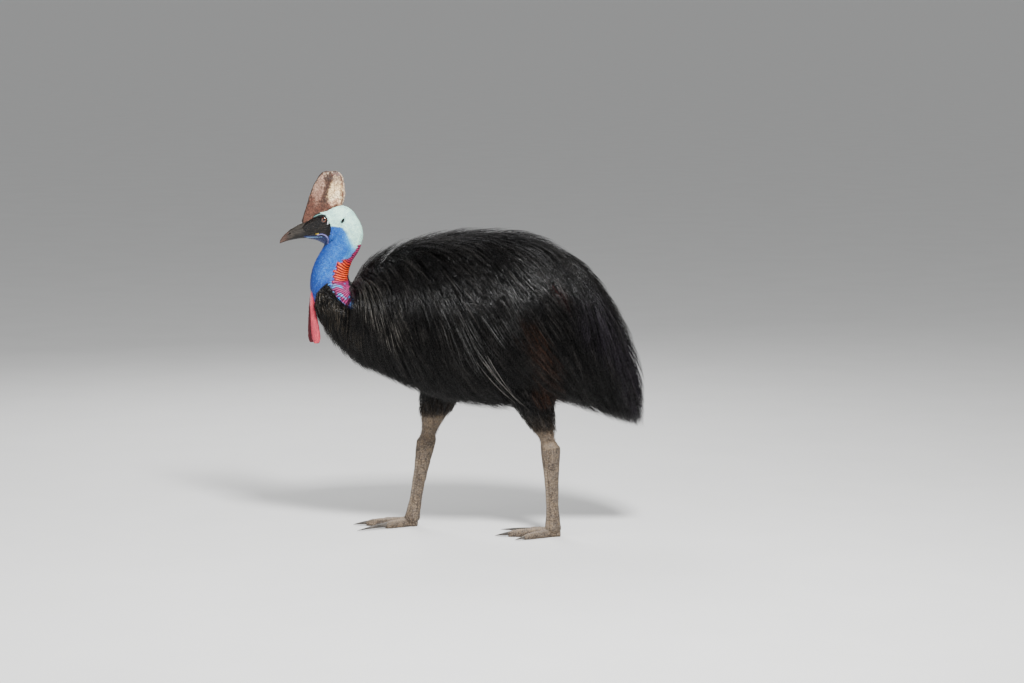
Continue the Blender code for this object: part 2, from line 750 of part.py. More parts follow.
def build_quills(tree, side, collection):
    """The bare quills of the wing, long smooth spines that lie outside the coat."""
    quills = []
    start, normal = flank_point(tree, *WING_PATH[-2], side)
    for length, slope, shift in QUILLS:
        heading = Vector((math.cos(math.radians(slope)), 0, -math.sin(math.radians(slope))))
        place = start + heading * shift
        points = [place + normal * QUILL_ROOT]
        reach = abs(place.y)
        for part, height in QUILL_RISES:
            ahead = place + heading * length * part
            foot, _ = flank_point(tree, ahead.x, ahead.z, side)
            reach = max(reach, abs(foot.y)) if foot else reach
            points.append(Vector((ahead.x, side * (reach + height), ahead.z)))
        curve = bpy.data.curves.new("quill", "CURVE")
        curve.dimensions = "3D"
        curve.bevel_depth = QUILL_RADIUS
        curve.bevel_resolution = 0
        curve.use_fill_caps = True
        spline = curve.splines.new("POLY")
        spline.points.add(len(points) - 1)
        for i, (point, place_on_spline) in enumerate(zip(points, spline.points)):
            place_on_spline.co = (*point, 1.0)
            place_on_spline.radius = 1.0 - 0.6 * i / (len(points) - 1)
        drawn = bpy.data.objects.new("quill", curve)
        collection.objects.link(drawn)
        quills.append(meshed(drawn, collection))
    return quills


def meshed(curve_object, collection):
    """A closed mesh of a curve object, which is removed."""
    bpy.context.view_layer.update()
    graph = bpy.context.evaluated_depsgraph_get()
    mesh = bpy.data.meshes.new_from_object(curve_object.evaluated_get(graph))
    bm = bmesh.new()
    bm.from_mesh(mesh)
    bmesh.ops.remove_doubles(bm, verts=bm.verts, dist=0.00001)
    bpy.data.meshes.remove(mesh)
    obj = mesh_object(curve_object.name, bm, collection)
    obj.matrix_world = curve_object.matrix_world
    bpy.data.objects.remove(curve_object)
    return obj


# Head, bill and casque

def build_head_core(collection):
    growth = cage_growth(SOFT_RING)
    rings = []
    for x, top, bottom, half_width in HEAD_SECTIONS:
        centre = Vector((x, 0, (top + bottom) / 2))
        rings.append(ring(centre, Vector((0, 0, 1)), Vector((0, 1, 0)), (top - bottom) / 2 * growth,
                          half_width * growth, SOFT_RING))
    core = loft("head_core", rings, collection, levels=1)
    head = sliced(core, "head", (BILL_CUT_X + GAP / 2, 0, 0), Vector((-1, 0, 0)))
    discard(core)
    return head


def ball(name, centre, size, collection, segments=16, rings=10):
    """An ellipsoid with its poles to the sides."""
    bm = bmesh.new()
    bmesh.ops.create_uvsphere(bm, u_segments=segments, v_segments=rings, radius=1.0)
    place = Matrix.Translation(centre) @ Matrix.Diagonal((*size, 1.0)) @ Matrix.Rotation(math.pi / 2, 4, "X")
    bmesh.ops.transform(bm, matrix=place, verts=bm.verts)
    return mesh_object(name, bm, collection)


def build_lid(side, collection):
    """The ring of the eyelids."""
    bpy.ops.mesh.primitive_torus_add(major_segments=12, minor_segments=4, major_radius=LID_RADIUS,
                                     minor_radius=LID_THICKNESS, location=(0, 0, 0))
    lid = bpy.context.object
    turn = Matrix.Rotation(math.radians(90 - LID_TOE_IN * side), 4, "X")
    lid.data.transform(Matrix.Translation((EYE_CENTRE[0], side * LID_OUT, EYE_CENTRE[2])) @ turn)
    for owner in list(lid.users_collection):
        owner.objects.unlink(lid)
    collection.objects.link(lid)
    return lid


def mirrored(place, side):
    return Vector((place[0], place[1] * side, place[2]))


def bill_half(name, sections, heights, width_share, collection):
    """A half of the bill from its sections: heights picks the flat edge and the crown of each."""
    rings = []
    for x, mouth, culmen, keel, half_width in sections:
        flat, crown = heights(mouth, culmen, keel)
        points = []
        for i in range(BILL_RING):
            turn = math.pi * i / (BILL_RING - 1)
            reach = half_width * width_share * math.cos(turn)
            points.append(Vector((x, reach, flat + (crown - flat) * math.sin(turn) ** 0.85)))
        rings.append(points)
    last = [Vector((BILL_CUT_X - GAP / 2, point.y, point.z)) for point in rings[-1]]
    return loft(name, rings[:-1] + [last], collection)


def build_casque(collection):
    rings = []
    for z, front, rear, half_width in CASQUE_SECTIONS:
        centre = Vector(((front + rear) / 2, 0, z))
        half_length = (rear - front) / 2
        points = []
        for i in range(CASQUE_RING):
            turn = 2 * math.pi * i / CASQUE_RING
            along, across = math.cos(turn), math.sin(turn)
            keel = 1 - CASQUE_KEEL * max(0.0, -along)
            points.append(centre + Vector((half_length * along, half_width * across * keel, 0)))
        rings.append(points)
    whole = loft("casque_whole", rings, collection)
    point, slope = CASQUE_SEAT
    down = Vector((math.sin(math.radians(slope)), 0, -math.cos(math.radians(slope))))
    casque = sliced(whole, "casque", point, down)
    discard(whole)
    return casque


def build_gape(tree, side, collection):
    """A thin spindle along the corner of the mouth, to be cut from the cheek."""
    rings = []
    for x, z in GAPE:
        place = tree.ray_cast(Vector((x, side, z)), Vector((0, -side, 0)))[0]
        rings.append(ring(place or mirrored((x, BILL_SECTIONS[-1][4], z), side), Vector((0, 0, 1)),
                          Vector((0, 1, 0)), GAPE_HEIGHT, GAPE_DEPTH, 4))
    return loft("gape", rings, collection)


# Neck and wattles

def neck_frame(section):
    """Centre of a neck section, and its direction towards the nape."""
    x, z, lean = section[:3]
    return Vector((x, 0, z)), Vector((math.cos(math.radians(lean)), 0, math.sin(math.radians(lean))))


def build_neck(collection):
    growth = cage_growth(SOFT_RING)
    rings = []
    for section in NECK_SECTIONS:
        centre, nape = neck_frame(section)
        rings.append(ring(centre, nape, Vector((0, 1, 0)), section[3] * growth, section[4] * growth,
                          SOFT_RING))
    neck = loft("neck", rings, collection, levels=1)
    return parted(neck, ("neck_upper", "neck_lower"), (0, 0, NECK_CUT_Z), (0, 0, -1))


def neck_at(share):
    place = share * (len(NECK_SECTIONS) - 1)
    low = min(int(place), len(NECK_SECTIONS) - 2)
    part = place - low
    return [a + (b - a) * part for a, b in zip(NECK_SECTIONS[low], NECK_SECTIONS[low + 1])]


def neck_folds(tree, shares, collection):
    """Folds of loose skin across the nape, each one thickest in its middle."""
    folds = []
    for share in shares:
        reach = FOLD_REACH * (0.55 + 0.45 * min(1.0, share / 0.6))
        rise = FOLD_RISE * (0.40 + 0.60 * min(1.0, share / 0.6))
        rows = []
        for step, swell in ((-FOLD_HALF, 0.0), (0.0, 1.0), (FOLD_HALF, 0.0)):
            centre, nape = neck_frame(neck_at(share + step))
            row = []
            for turn in (-1.0, -0.5, 0.0, 0.5, 1.0):
                angle = math.radians(reach * turn)
                direction = nape * math.cos(angle) + Vector((0, 1, 0)) * math.sin(angle)
                row.append((centre, direction, rise * swell * (1 - turn * turn * 0.6) - 0.0005))
            rows.append(row)
        folds.append(patch("fold", tree, rows, FOLD_SINK, collection))
    return folds


def build_wattle(side_name, collection):
    side = SIDES[side_name]
    rings = []
    for z, x, half_depth, half_width, out in WATTLE_SECTIONS:
        share = (WATTLE_SECTIONS[0][0] - z) / (WATTLE_SECTIONS[0][0] - WATTLE_SECTIONS[-1][0])
        centre = Vector((x + WATTLE_SPREAD * -side * share, side * out, z))
        rings.append(ring(centre, Vector((1, 0, 0)), Vector((0, 1, 0)), half_depth, half_width,
                          SOFT_RING))
    return loft("wattle_" + side_name, rings, collection)


# Legs and feet

def build_leg(side_name, collection):
    """The thigh and the shank in one, parted at the hock."""
    hip, hock, foot = (Vector(LEGS[side_name][key]) for key in ("hip", "hock", "foot"))
    rings = []
    for start, end, girths in ((hip, hock, THIGH_GIRTH), (hock, foot, SHANK_GIRTH)):
        for share, half_depth, half_width in girths:
            rings.append(ring(start.lerp(end, share), Vector((1, 0, 0)), Vector((0, 1, 0)),
                              half_depth, half_width, LEG_RING))
    leg = loft("leg", rings, collection)
    names = ("thigh_" + side_name, "shank_" + side_name)
    return parted(leg, names, hip.lerp(hock, HOCK_CUT), (0, 0, -1))


def shank_scutes(side_name, tree, collection):
    """Broad scales down the front of the shank, each one's lower edge standing out."""
    hock, foot = Vector(LEGS[side_name]["hock"]), Vector(LEGS[side_name]["foot"])
    scutes = []
    for i in range(SHANK_SCUTES):
        share = SHANK_SCUTE_FIRST + i * SHANK_SCUTE_PITCH
        rows = []
        for step, rise in ((0.0, 0.15), (SHANK_SCUTE_PITCH * 0.93, 1.0)):
            start = hock.lerp(foot, share + step)
            row = []
            for turn in (-60, 0, 60):
                angle = math.radians(turn)
                row.append((start, Vector((-math.cos(angle), math.sin(angle), 0)), SCUTE_RISE * rise))
            rows.append(row)
        scutes.append(patch("scute", tree, rows, SCUTE_SINK, collection))
    return scutes


def toe_frame(side_name, toe):
    """The foot's centre on the floor, the toe's direction, and its direction across."""
    foot = Vector(LEGS[side_name]["foot"])
    turn = math.radians(TOES[toe][0])
    ahead = Vector((-math.cos(turn), SIDES[side_name] * math.sin(turn), 0))
    return foot, ahead, Vector((-ahead.y, ahead.x, 0))


def build_toe(side_name, toe, collection):
    foot, ahead, across = toe_frame(side_name, toe)
    rings = []
    for distance, half_width, height in TOES[toe][1]:
        centre = foot + ahead * distance + Vector((0, 0, height * 0.42))
        rings.append(ring(centre, Vector((0, 0, 1)), across, height * 0.58, half_width, TOE_RING))
    core = loft("toe", rings, collection)
    toe_object = sliced(core, f"toe_{toe}_{side_name}", (0, 0, 0), Vector((0, 0, -1)))
    discard(core)
    return toe_object


def toe_scutes(side_name, toe, tree, collection):
    foot, ahead, across = toe_frame(side_name, toe)
    first, last = TOE_SCUTE_FIRST, CLAWS[toe][0] - TOE_SCUTE_MARGIN
    count = max(1, round((last - first) / TOE_SCUTE_PITCH))
    scutes = []
    for i in range(count):
        rows = []
        for step, rise in ((0.0, 0.15), (0.93, 1.0)):
            start = foot + ahead * (first + (i + step) * (last - first) / count) + Vector((0, 0, 0.008))
            row = []
            for turn in (-48, 0, 48):
                angle = math.radians(turn)
                direction = Vector((0, 0, 1)) * math.cos(angle) + across * math.sin(angle)
                row.append((start, direction, SCUTE_RISE * 0.8 * rise))
            rows.append(row)
        scutes.append(patch("scute", tree, rows, SCUTE_SINK, collection))
    return scutes


def build_claw(side_name, toe, collection):
    foot, ahead, across = toe_frame(side_name, toe)
    start, length, radius, height = CLAWS[toe]
    rings = []
    for share in CLAW_SHARES:
        thick = radius * max(0.06, (1 - share) ** 0.75)
        drop = (height - CLAW_TIP_HEIGHT) * share ** 1.6
        centre = foot + ahead * (start + length * share) + Vector((0, 0, height - drop))
        rings.append(ring(centre, Vector((0, 0, 1)), across, thick, thick * 0.85, 6))
    return loft(f"claw_{toe}_{side_name}", rings, collection)


def cover_thigh(side_name, coat, rng):
    """Short locks down the feathered part of a leg."""
    hip, hock = Vector(LEGS[side_name]["hip"]), Vector(LEGS[side_name]["hock"])
    reach = (hock - hip).length
    depths = [(share, half_depth) for share, half_depth, _ in THIGH_GIRTH]
    widths = [(share, half_width) for share, _, half_width in THIGH_GIRTH]

    def path(start, turn, length, lift):
        points, normals = [], []
        for share, rise in zip(LOCK_SHARES, LOCK_DEPTHS):
            place = start + share * length / reach
            out = Vector((math.cos(turn) * read_table(depths, place), math.sin(turn) * read_table(widths, place), 0))
            normal = out.normalized()
            points.append(hip.lerp(hock, place) + out + normal * THIGH_LOCK_RISE * rise * lift)
            normals.append(normal)
        return points, normals

    for row, start in enumerate(THIGH_ROWS):
        count = THIGH_LOCKS[row]
        for i in range(count):
            turn = 2 * math.pi * (i + 0.5 * (row % 2) + rng.uniform(-0.1, 0.1)) / count
            length = THIGH_LOCK_LENGTH * rng.uniform(0.9, 1.1)
            coat.grow("thigh_" + side_name, lambda lift: path(start, turn, length, lift),
                      THIGH_LOCK_WIDTH * (1.15 - 0.5 * start), sign(math.cos(turn)))


def paint(parts, materials):
    """Gives each node the material that its name calls for, and smooth shading to the round ones."""
    for obj in parts.objects:
        for start, material in MATERIAL_OF:
            if obj.name.startswith(start):
                obj.data.materials.clear()
                obj.data.materials.append(materials[material])
                break
        if not obj.name.startswith(FACETED):
            obj.data.shade_smooth()
            obj.data.set_sharp_from_angle(angle=math.radians(SHARP_ANGLE))


def main():
    clear_scene()
    materials = make_materials()
    parts = new_collection("cassowary")
    rng = random.Random(SEED)

    body = build_body_core(parts)
    body_tree = tree_of(body)
    torso, _ = parted(body, ("torso", "tail"), TAIL_CUT[0], lean_normal(TAIL_CUT[1]))

    neck_upper, neck_lower = build_neck(parts)
    neck_tree = tree_of(neck_upper, neck_lower)
    unite(neck_upper, neck_folds(neck_tree, UPPER_FOLDS, parts))
    unite(neck_lower, neck_folds(neck_tree, LOWER_FOLDS, parts))
    head = build_head_core(parts)
    casque = build_casque(parts)
    cut_clear(neck_upper, head)
    cut_clear(neck_lower, torso)

    head_tree = tree_of(head)
    unite(head, [build_lid(side, parts) for side in SIDES.values()])
    for name, side in SIDES.items():
        eye = ball("eye_" + name, mirrored(EYE_CENTRE, side), (EYE_RADIUS,) * 3, parts, 10, 8)
        cut_clear(head, eye)
        cut(head, ball("ear_pit", mirrored(EAR_CENTRE, side), EAR_SIZE, parts, 8, 5))
        cut(head, build_gape(head_tree, side, parts))
    cut_clear(head, casque)
    bill_upper = bill_half("bill_upper", BILL_SECTIONS, lambda mouth, culmen, keel: (mouth + GAP / 2, culmen),
                           1.0, parts)
    bill_half("bill_lower", BILL_SECTIONS[1:], lambda mouth, culmen, keel: (mouth - GAP / 2, keel), 0.86, parts)
    cut_clear(bill_upper, casque)
    for side in SIDES.values():
        cut(bill_upper, ball("nostril", mirrored(NOSTRIL, side), NOSTRIL_SIZE, parts, 10, 6))
    for side_name in SIDES:
        wattle = build_wattle(side_name, parts)
        cut_clear(wattle, neck_lower)

    wings, legs = {}, {}
    for side_name in SIDES:
        wings[side_name] = build_wing(side_name, body_tree, torso, parts)
    for side_name in SIDES:
        thigh, shank = build_leg(side_name, parts)
        cut_clear(thigh, torso)
        legs[side_name] = (thigh, shank)
    thighs = [thigh for thigh, _ in legs.values()]
    blocked = [tree_of(obj) for obj in (*wings.values(), *thighs, neck_lower)]

    coat = Coat(parts)
    for obj in parts.objects:
        coat.add_solid(obj.name, obj)
    for side_name, side in SIDES.items():
        wing = wings[side_name]
        coat.locks[wing.name] = build_quills(body_tree, side, parts)
        for quill in coat.locks[wing.name]:
            coat.add_solid(wing.name, quill)
    for side_name in SIDES:
        cover_thigh(side_name, coat, rng)
    cover_body(coat, blocked, rng)
    for name, locks in coat.locks.items():
        unite(parts.objects[name], locks)

    for side_name in SIDES:
        shank = legs[side_name][1]
        placed = [shank]
        for toe in TOES:
            toe_object = build_toe(side_name, toe, parts)
            toe_tree = tree_of(toe_object)
            claw = build_claw(side_name, toe, parts)
            cut_clear(toe_object, claw, *placed)
            unite(toe_object, toe_scutes(side_name, toe, toe_tree, parts))
            placed.append(toe_object)
        unite(shank, shank_scutes(side_name, tree_of(shank), parts))
    paint(parts, materials)


main()
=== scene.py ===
"""Looks of a life-size southern cassowary in mid-stride: skin, plumage, casque, bill, eyes and claws.

Metres, +Z up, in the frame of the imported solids. The bird faces -X and its left side is towards -Y.
"""

import itertools
import math

import bpy
import numpy as np
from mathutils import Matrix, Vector
from mathutils.kdtree import KDTree


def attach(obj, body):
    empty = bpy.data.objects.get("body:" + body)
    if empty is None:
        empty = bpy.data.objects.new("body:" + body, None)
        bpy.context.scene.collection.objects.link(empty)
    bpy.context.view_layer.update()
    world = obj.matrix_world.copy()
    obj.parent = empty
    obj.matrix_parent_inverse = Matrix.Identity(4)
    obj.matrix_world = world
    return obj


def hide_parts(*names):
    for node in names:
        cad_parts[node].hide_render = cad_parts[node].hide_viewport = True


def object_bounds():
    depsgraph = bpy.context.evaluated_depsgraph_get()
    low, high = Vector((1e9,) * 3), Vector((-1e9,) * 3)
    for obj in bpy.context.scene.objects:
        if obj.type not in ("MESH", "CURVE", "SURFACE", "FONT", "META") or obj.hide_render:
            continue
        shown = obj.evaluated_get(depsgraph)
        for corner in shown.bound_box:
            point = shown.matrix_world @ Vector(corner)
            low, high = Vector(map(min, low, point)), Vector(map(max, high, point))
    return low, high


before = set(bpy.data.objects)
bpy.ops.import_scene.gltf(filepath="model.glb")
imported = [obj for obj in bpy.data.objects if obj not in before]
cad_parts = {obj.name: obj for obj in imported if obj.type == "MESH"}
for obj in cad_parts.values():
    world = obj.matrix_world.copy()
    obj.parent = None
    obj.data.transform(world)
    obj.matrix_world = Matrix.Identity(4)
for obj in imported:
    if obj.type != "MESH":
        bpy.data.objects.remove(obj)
cad_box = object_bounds()

SEED = 11
SIDES = {"left": -1.0, "right": 1.0}

# The camera, at the photograph's angle.
CAMERA_TARGET = (0.166, 0.0, 0.674)
CAMERA_DISTANCE = 10.0
CAMERA_ELEVATION = 7.0
CAMERA_LENS = 100.4

# The studio. Each light: place, power in watts, size.
FLOOR_REACH = 600.0
SKY_LIGHT = (0.90, 0.91, 0.92, 1.0)
SKY_STRENGTH = 0.46
LIGHTS = [
    ("key", (0.9, -3.0, 4.2), 560, 0.9),
    ("fill", (-3.4, -2.6, 1.8), 60, 2.6),
    ("rim", (-1.0, 3.0, 3.2), 110, 2.0),
]
LIGHT_AIM = (0.0, 0.0, 0.75)

# Sections of the body's core: centre x, centre z, lean towards the tail in degrees, half height, half width.
BODY_SECTIONS = [
    (-0.462, 0.846, 46, 0.048, 0.040),
    (-0.432, 0.832, 42, 0.088, 0.066),
    (-0.380, 0.832, 30, 0.134, 0.094),
    (-0.290, 0.815, 20, 0.190, 0.130),
    (-0.160, 0.793, 12, 0.236, 0.163),
    (-0.010, 0.778, 6, 0.263, 0.184),
    (0.130, 0.772, 4, 0.268, 0.192),
    (0.245, 0.765, 2, 0.252, 0.186),
    (0.340, 0.745, 3, 0.222, 0.166),
    (0.420, 0.700, 4, 0.186, 0.138),
    (0.485, 0.640, 4, 0.140, 0.100),
    (0.530, 0.575, 6, 0.085, 0.060),
    (0.560, 0.510, 8, 0.020, 0.015),
]
# The outside of the coat, one section for each of the core's.
COAT_SECTIONS = [
    (-0.462, 0.860, 44, 0.072, 0.056),
    (-0.442, 0.846, 36, 0.105, 0.076),
    (-0.396, 0.840, 29, 0.160, 0.107),
    (-0.302, 0.820, 20, 0.221, 0.150),
    (-0.170, 0.794, 13, 0.271, 0.190),
    (-0.015, 0.770, 7, 0.304, 0.213),
    (0.130, 0.758, 4, 0.313, 0.222),
    (0.252, 0.748, 2, 0.298, 0.215),
    (0.355, 0.727, 3, 0.265, 0.195),
    (0.437, 0.677, 4, 0.238, 0.165),
    (0.512, 0.611, 4, 0.199, 0.125),
    (0.572, 0.520, 12, 0.135, 0.084),
    (0.603, 0.430, 26, 0.070, 0.046),
]
BODY_SAG = 0.16       # how much wider the body is below its middle than above
# Depth of the strands' roots by place along the body, where the core is 0 and the coat's outside 1.
ROOT_DEPTHS = [(0.0, -0.6), (2.0, -0.7), (3.2, -0.6), (4.5, -0.45), (12.0, -0.45)]
# Depth of the skin on the same scale.
SKIN_DEPTHS = [(0.0, -1.2), (1.0, -1.6), (2.0, -1.3), (3.2, -0.6), (4.5, -0.45), (12.0, -0.45)]
LAST = len(COAT_SECTIONS) - 1

# The back of the head and the bare neck: centre x, centre z, lean of the section in degrees, half depth from
# throat to nape, half width.
NECK_SECTIONS = [
    (-0.4320, 1.1505, 0, 0.008, 0.006),
    (-0.4290, 1.1440, 0, 0.024, 0.0180),
    (-0.4240, 1.1300, 0, 0.0365, 0.0285),
    (-0.4190, 1.1090, 0, 0.0455, 0.0350),
    (-0.4130, 1.0830, 0, 0.0530, 0.0368),
    (-0.4105, 1.0520, -6, 0.0575, 0.0360),
    (-0.4240, 1.0150, -18, 0.0590, 0.0352),
    (-0.4470, 0.9750, -28, 0.0550, 0.0360),
    (-0.4660, 0.9330, -14, 0.0600, 0.0410),
    (-0.4730, 0.8900, 3, 0.0660, 0.0470),
    (-0.4620, 0.8460, 28, 0.0740, 0.0530),
    (-0.4280, 0.8080, 55, 0.0820, 0.0580),
    (-0.3850, 0.7900, 70, 0.0840, 0.0600),
]
NECK_LAST = len(NECK_SECTIONS) - 1
# The head behind the bill: x, top, bottom, half width.
HEAD_SECTIONS = [
    (-0.582, 1.0720, 1.0470, 0.0085),
    (-0.566, 1.0840, 1.0400, 0.0165),
    (-0.549, 1.0990, 1.0365, 0.0224),
    (-0.528, 1.1150, 1.0330, 0.0275),
    (-0.508, 1.1290, 1.0270, 0.0325),
    (-0.485, 1.1410, 1.0150, 0.0365),
    (-0.452, 1.1520, 1.0070, 0.0390),
    (-0.424, 1.1510, 1.0150, 0.0360),
    (-0.404, 1.1350, 1.0350, 0.0270),
]
# Rounded forms of the head: centre (x, y on either side, z), half sizes, tilt in side view in degrees.
HEAD_FORMS = [
    ((-0.496, 0.0215, 1.1200), (0.030, 0.0125, 0.0085), 14),
    ((-0.466, 0.0240, 1.0580), (0.030, 0.0150, 0.0300), 0),
    ((-0.520, 0.0165, 1.0480), (0.040, 0.0090, 0.0095), 4),
    ((-0.440, 0.0230, 1.0980), (0.034, 0.0170, 0.0330), 0),
]
# Folds and grooves of the face: path in side view, half width, height.
FACE_FOLDS = [
    ([(-0.5120, 1.0500), (-0.4940, 1.0525), (-0.4800, 1.0470), (-0.4725, 1.0350),
      (-0.4745, 1.0200)], 0.0038, 0.0026),
    ([(-0.5150, 1.0430), (-0.4990, 1.0445), (-0.4880, 1.0390), (-0.4830, 1.0290),
      (-0.4860, 1.0180)], 0.0030, 0.0016),
    ([(-0.5220, 1.0880), (-0.5050, 1.0835), (-0.4870, 1.0825), (-0.4720, 1.0880),
      (-0.4660, 1.0990)], 0.0036, 0.0014),
    ([(-0.5300, 1.0790), (-0.5100, 1.0745), (-0.4900, 1.0735), (-0.4740, 1.0790)], 0.0030, 0.0010),
    ([(-0.5430, 1.0700), (-0.5200, 1.0660), (-0.4980, 1.0655), (-0.4800, 1.0680)], 0.0026, 0.0007),
    ([(-0.5460, 1.0870), (-0.5300, 1.0950), (-0.5120, 1.1010), (-0.5030, 1.1060)], 0.0030, 0.0010),
    ([(-0.5220, 1.1110), (-0.5070, 1.1185), (-0.4900, 1.1215), (-0.4750, 1.1170),
      (-0.4680, 1.1070)], 0.0034, 0.0016),
    ([(-0.5700, 1.0462), (-0.5450, 1.0500), (-0.5250, 1.0525), (-0.5100, 1.0545)], 0.0016, -0.0016),
]
EYE_CENTRE = (-0.487, 0.0215, 1.1035)
EYE_RADIUS = 0.0148
EYE_OPENING = (0.0108, 0.0096)
LID_RADIUS = (0.0019, 0.0028)
EAR_CENTRE = (-0.4215, 1.1000)
EAR_SIZE = (0.0044, 0.0095)
EAR_TILT = 28

HEAD_VOXEL = 0.0014
FOOT_VOXEL = 0.0019
SHANK_PLATE = 0.0105
TOE_PLATE = 0.0078
SCALE_SIZE = 0.0062
PEBBLE_SIZE = 0.0042
SKIN_ROUGHNESS = 0.50
SCALE_HEIGHT = 0.0013

# Colours of the skin.
BLACK_SKIN = (0.006, 0.0055, 0.0055)
MINT = (0.60, 1.00, 0.77)
CHEEK = (0.050, 0.34, 0.66)
SKY = (0.012, 0.150, 0.50)
PALE_SKY = (0.090, 0.42, 0.80)
COBALT = (0.004, 0.026, 0.220)
MAGENTA = (0.42, 0.012, 0.095)
PURPLE = (0.26, 0.010, 0.130)
# Highlights painted on the crests of the magenta pleats and violet folds.
MAGENTA_HIGHLIGHT = (0.80, 0.14, 0.30)
PURPLE_HIGHLIGHT = (0.56, 0.045, 0.180)
# Pale blue of painted highlights on the neck's raised pebbles.
PEBBLE_HIGHLIGHT_BLUE = (0.40, 0.66, 0.95)
# Shade painted in the gaps between the folds.
FOLD_SHADE = (0.030, 0.002, 0.008)
RED = (0.80, 0.050, 0.030)
ORANGE = (0.95, 0.058, 0.008)
# Highlight painted on the crests of the orange folds.
ORANGE_HIGHLIGHT = (1.00, 0.180, 0.040)
MASK = (0.0045, 0.0038, 0.0035)
# Painted highlights on the black face's wrinkles.
MASK_HIGHLIGHT = (0.032, 0.024, 0.016)
FACE_BLUE = (0.020, 0.035, 0.130)
FACE_VIOLET = (0.200, 0.180, 0.420)
GAPE_YELLOW = (0.60, 0.42, 0.05)
BROW_GREEN = (0.22, 0.42, 0.36)
EAR_GREY = (0.16, 0.22, 0.21)
# The right wattle's dark maroon is painted shade; the left one has the wattles' own pink.
WATTLE_COLOURS_RIGHT_SHADED = {"left": (0.58, 0.060, 0.085), "right": (0.120, 0.005, 0.012)}
WATTLE_EDGE = (0.80, 0.42, 0.44)
LEG = (0.165, 0.120, 0.076)
LEG_PALE = (0.300, 0.235, 0.165)
LEG_GROOVE = (0.050, 0.038, 0.028)
LEG_BROWN = (0.100, 0.070, 0.045)
# The rear edge of the black face by height, and the lower edge of the pale head along x.
MASK_REAR = [(1.001, -0.496), (1.008, -0.487), (1.020, -0.473), (1.031, -0.468), (1.043, -0.468),
             (1.067, -0.462), (1.084, -0.462), (1.102, -0.471), (1.1205, -0.481), (1.127, -0.500),
             (1.150, -0.512)]
MINT_EDGE = [(-0.480, 1.086), (-0.462, 1.083), (-0.446, 1.080), (-0.428, 1.079), (-0.415, 1.068),
             (-0.404, 1.050), (-0.394, 1.028), (-0.380, 1.006), (-0.355, 0.990)]
# Lines of colour on the face: path in side view, reach, colour, strength.
FACE_LINES = [
    ([(-0.5100, 1.0505), (-0.4940, 1.0530), (-0.4800, 1.0475), (-0.4725, 1.0350), (-0.4745, 1.0210)], 0.0030,
     FACE_VIOLET, 0.85),
    ([(-0.5480, 1.0415), (-0.5300, 1.0420), (-0.5100, 1.0425), (-0.4950, 1.0440)], 0.0018,
      (0.26, 0.46, 0.66), 0.8),
    ([(-0.5150, 1.0540), (-0.5070, 1.0545)], 0.0030, GAPE_YELLOW, 1.0),
    ([(-0.5240, 1.1120), (-0.5100, 1.1200), (-0.4950, 1.1240), (-0.4820, 1.1230)], 0.0022, BROW_GREEN, 0.8),
    ([(-0.4735, 1.0900), (-0.4720, 1.0975)], 0.0026, (0.80, 0.85, 0.82), 1.0),
    ([(-0.4600, 1.0620), (-0.4590, 1.0560)], 0.0040, COBALT, 0.7),
]

# The bill: x, mouth line, culmen, keel of the lower half, half width.
BILL_SECTIONS = [
    (-0.6438, 1.0195, 1.0235, 1.0185, 0.0020),
    (-0.6415, 1.0205, 1.0310, 1.0188, 0.0042),
    (-0.6345, 1.0245, 1.0415, 1.0215, 0.0068),
    (-0.6200, 1.0315, 1.0565, 1.0260, 0.0102),
    (-0.6000, 1.0390, 1.0715, 1.0310, 0.0137),
    (-0.5760, 1.0445, 1.0860, 1.0350, 0.0172),
    (-0.5500, 1.0485, 1.0970, 1.0370, 0.0217),
    (-0.5320, 1.0510, 1.1010, 1.0380, 0.0225),
]
NOSTRIL = (-0.6080, 0.0112, 1.0535)
NOSTRIL_SIZE = (0.0058, 0.0060, 0.0020)
NOSTRIL_TILT = -32
CULMEN_BUMP = (-0.6030, 0.0070, 0.0016)
LOWER_BILL_WIDTH = 0.86

# The casque: z, front edge, rear edge, half width.
CASQUE_SECTIONS = [
    (1.0800, -0.5585, -0.4500, 0.0175),
    (1.0940, -0.5680, -0.4420, 0.0205),
    (1.1150, -0.5620, -0.4330, 0.0225),
    (1.1400, -0.5530, -0.4270, 0.0218),
    (1.1540, -0.5495, -0.4225, 0.0212),
    (1.1690, -0.5450, -0.4175, 0.0200),
    (1.1900, -0.5390, -0.4138, 0.0180),
    (1.2230, -0.5250, -0.4160, 0.0143),
    (1.2440, -0.5130, -0.4195, 0.0118),
    (1.2560, -0.5055, -0.4235, 0.0098),
    (1.2640, -0.4985, -0.4300, 0.0076),
    (1.2692, -0.4900, -0.4375, 0.0052),
    (1.2715, -0.4800, -0.4460, 0.0026),
]
CASQUE_KEEL = 0.35
CASQUE_INSET = 0.0007
DENT_STRETCH = np.array([1.6, 1.0, 0.5])
FLAKE_STRETCH = np.array([1.0, 1.0, 0.6])
CASQUE_BASE = (0.085, 0.031, 0.019)
CASQUE_EDGE_TONES = ((0.014, 0.010, 0.009), (0.50, 0.38, 0.27), (0.030, 0.020, 0.016))
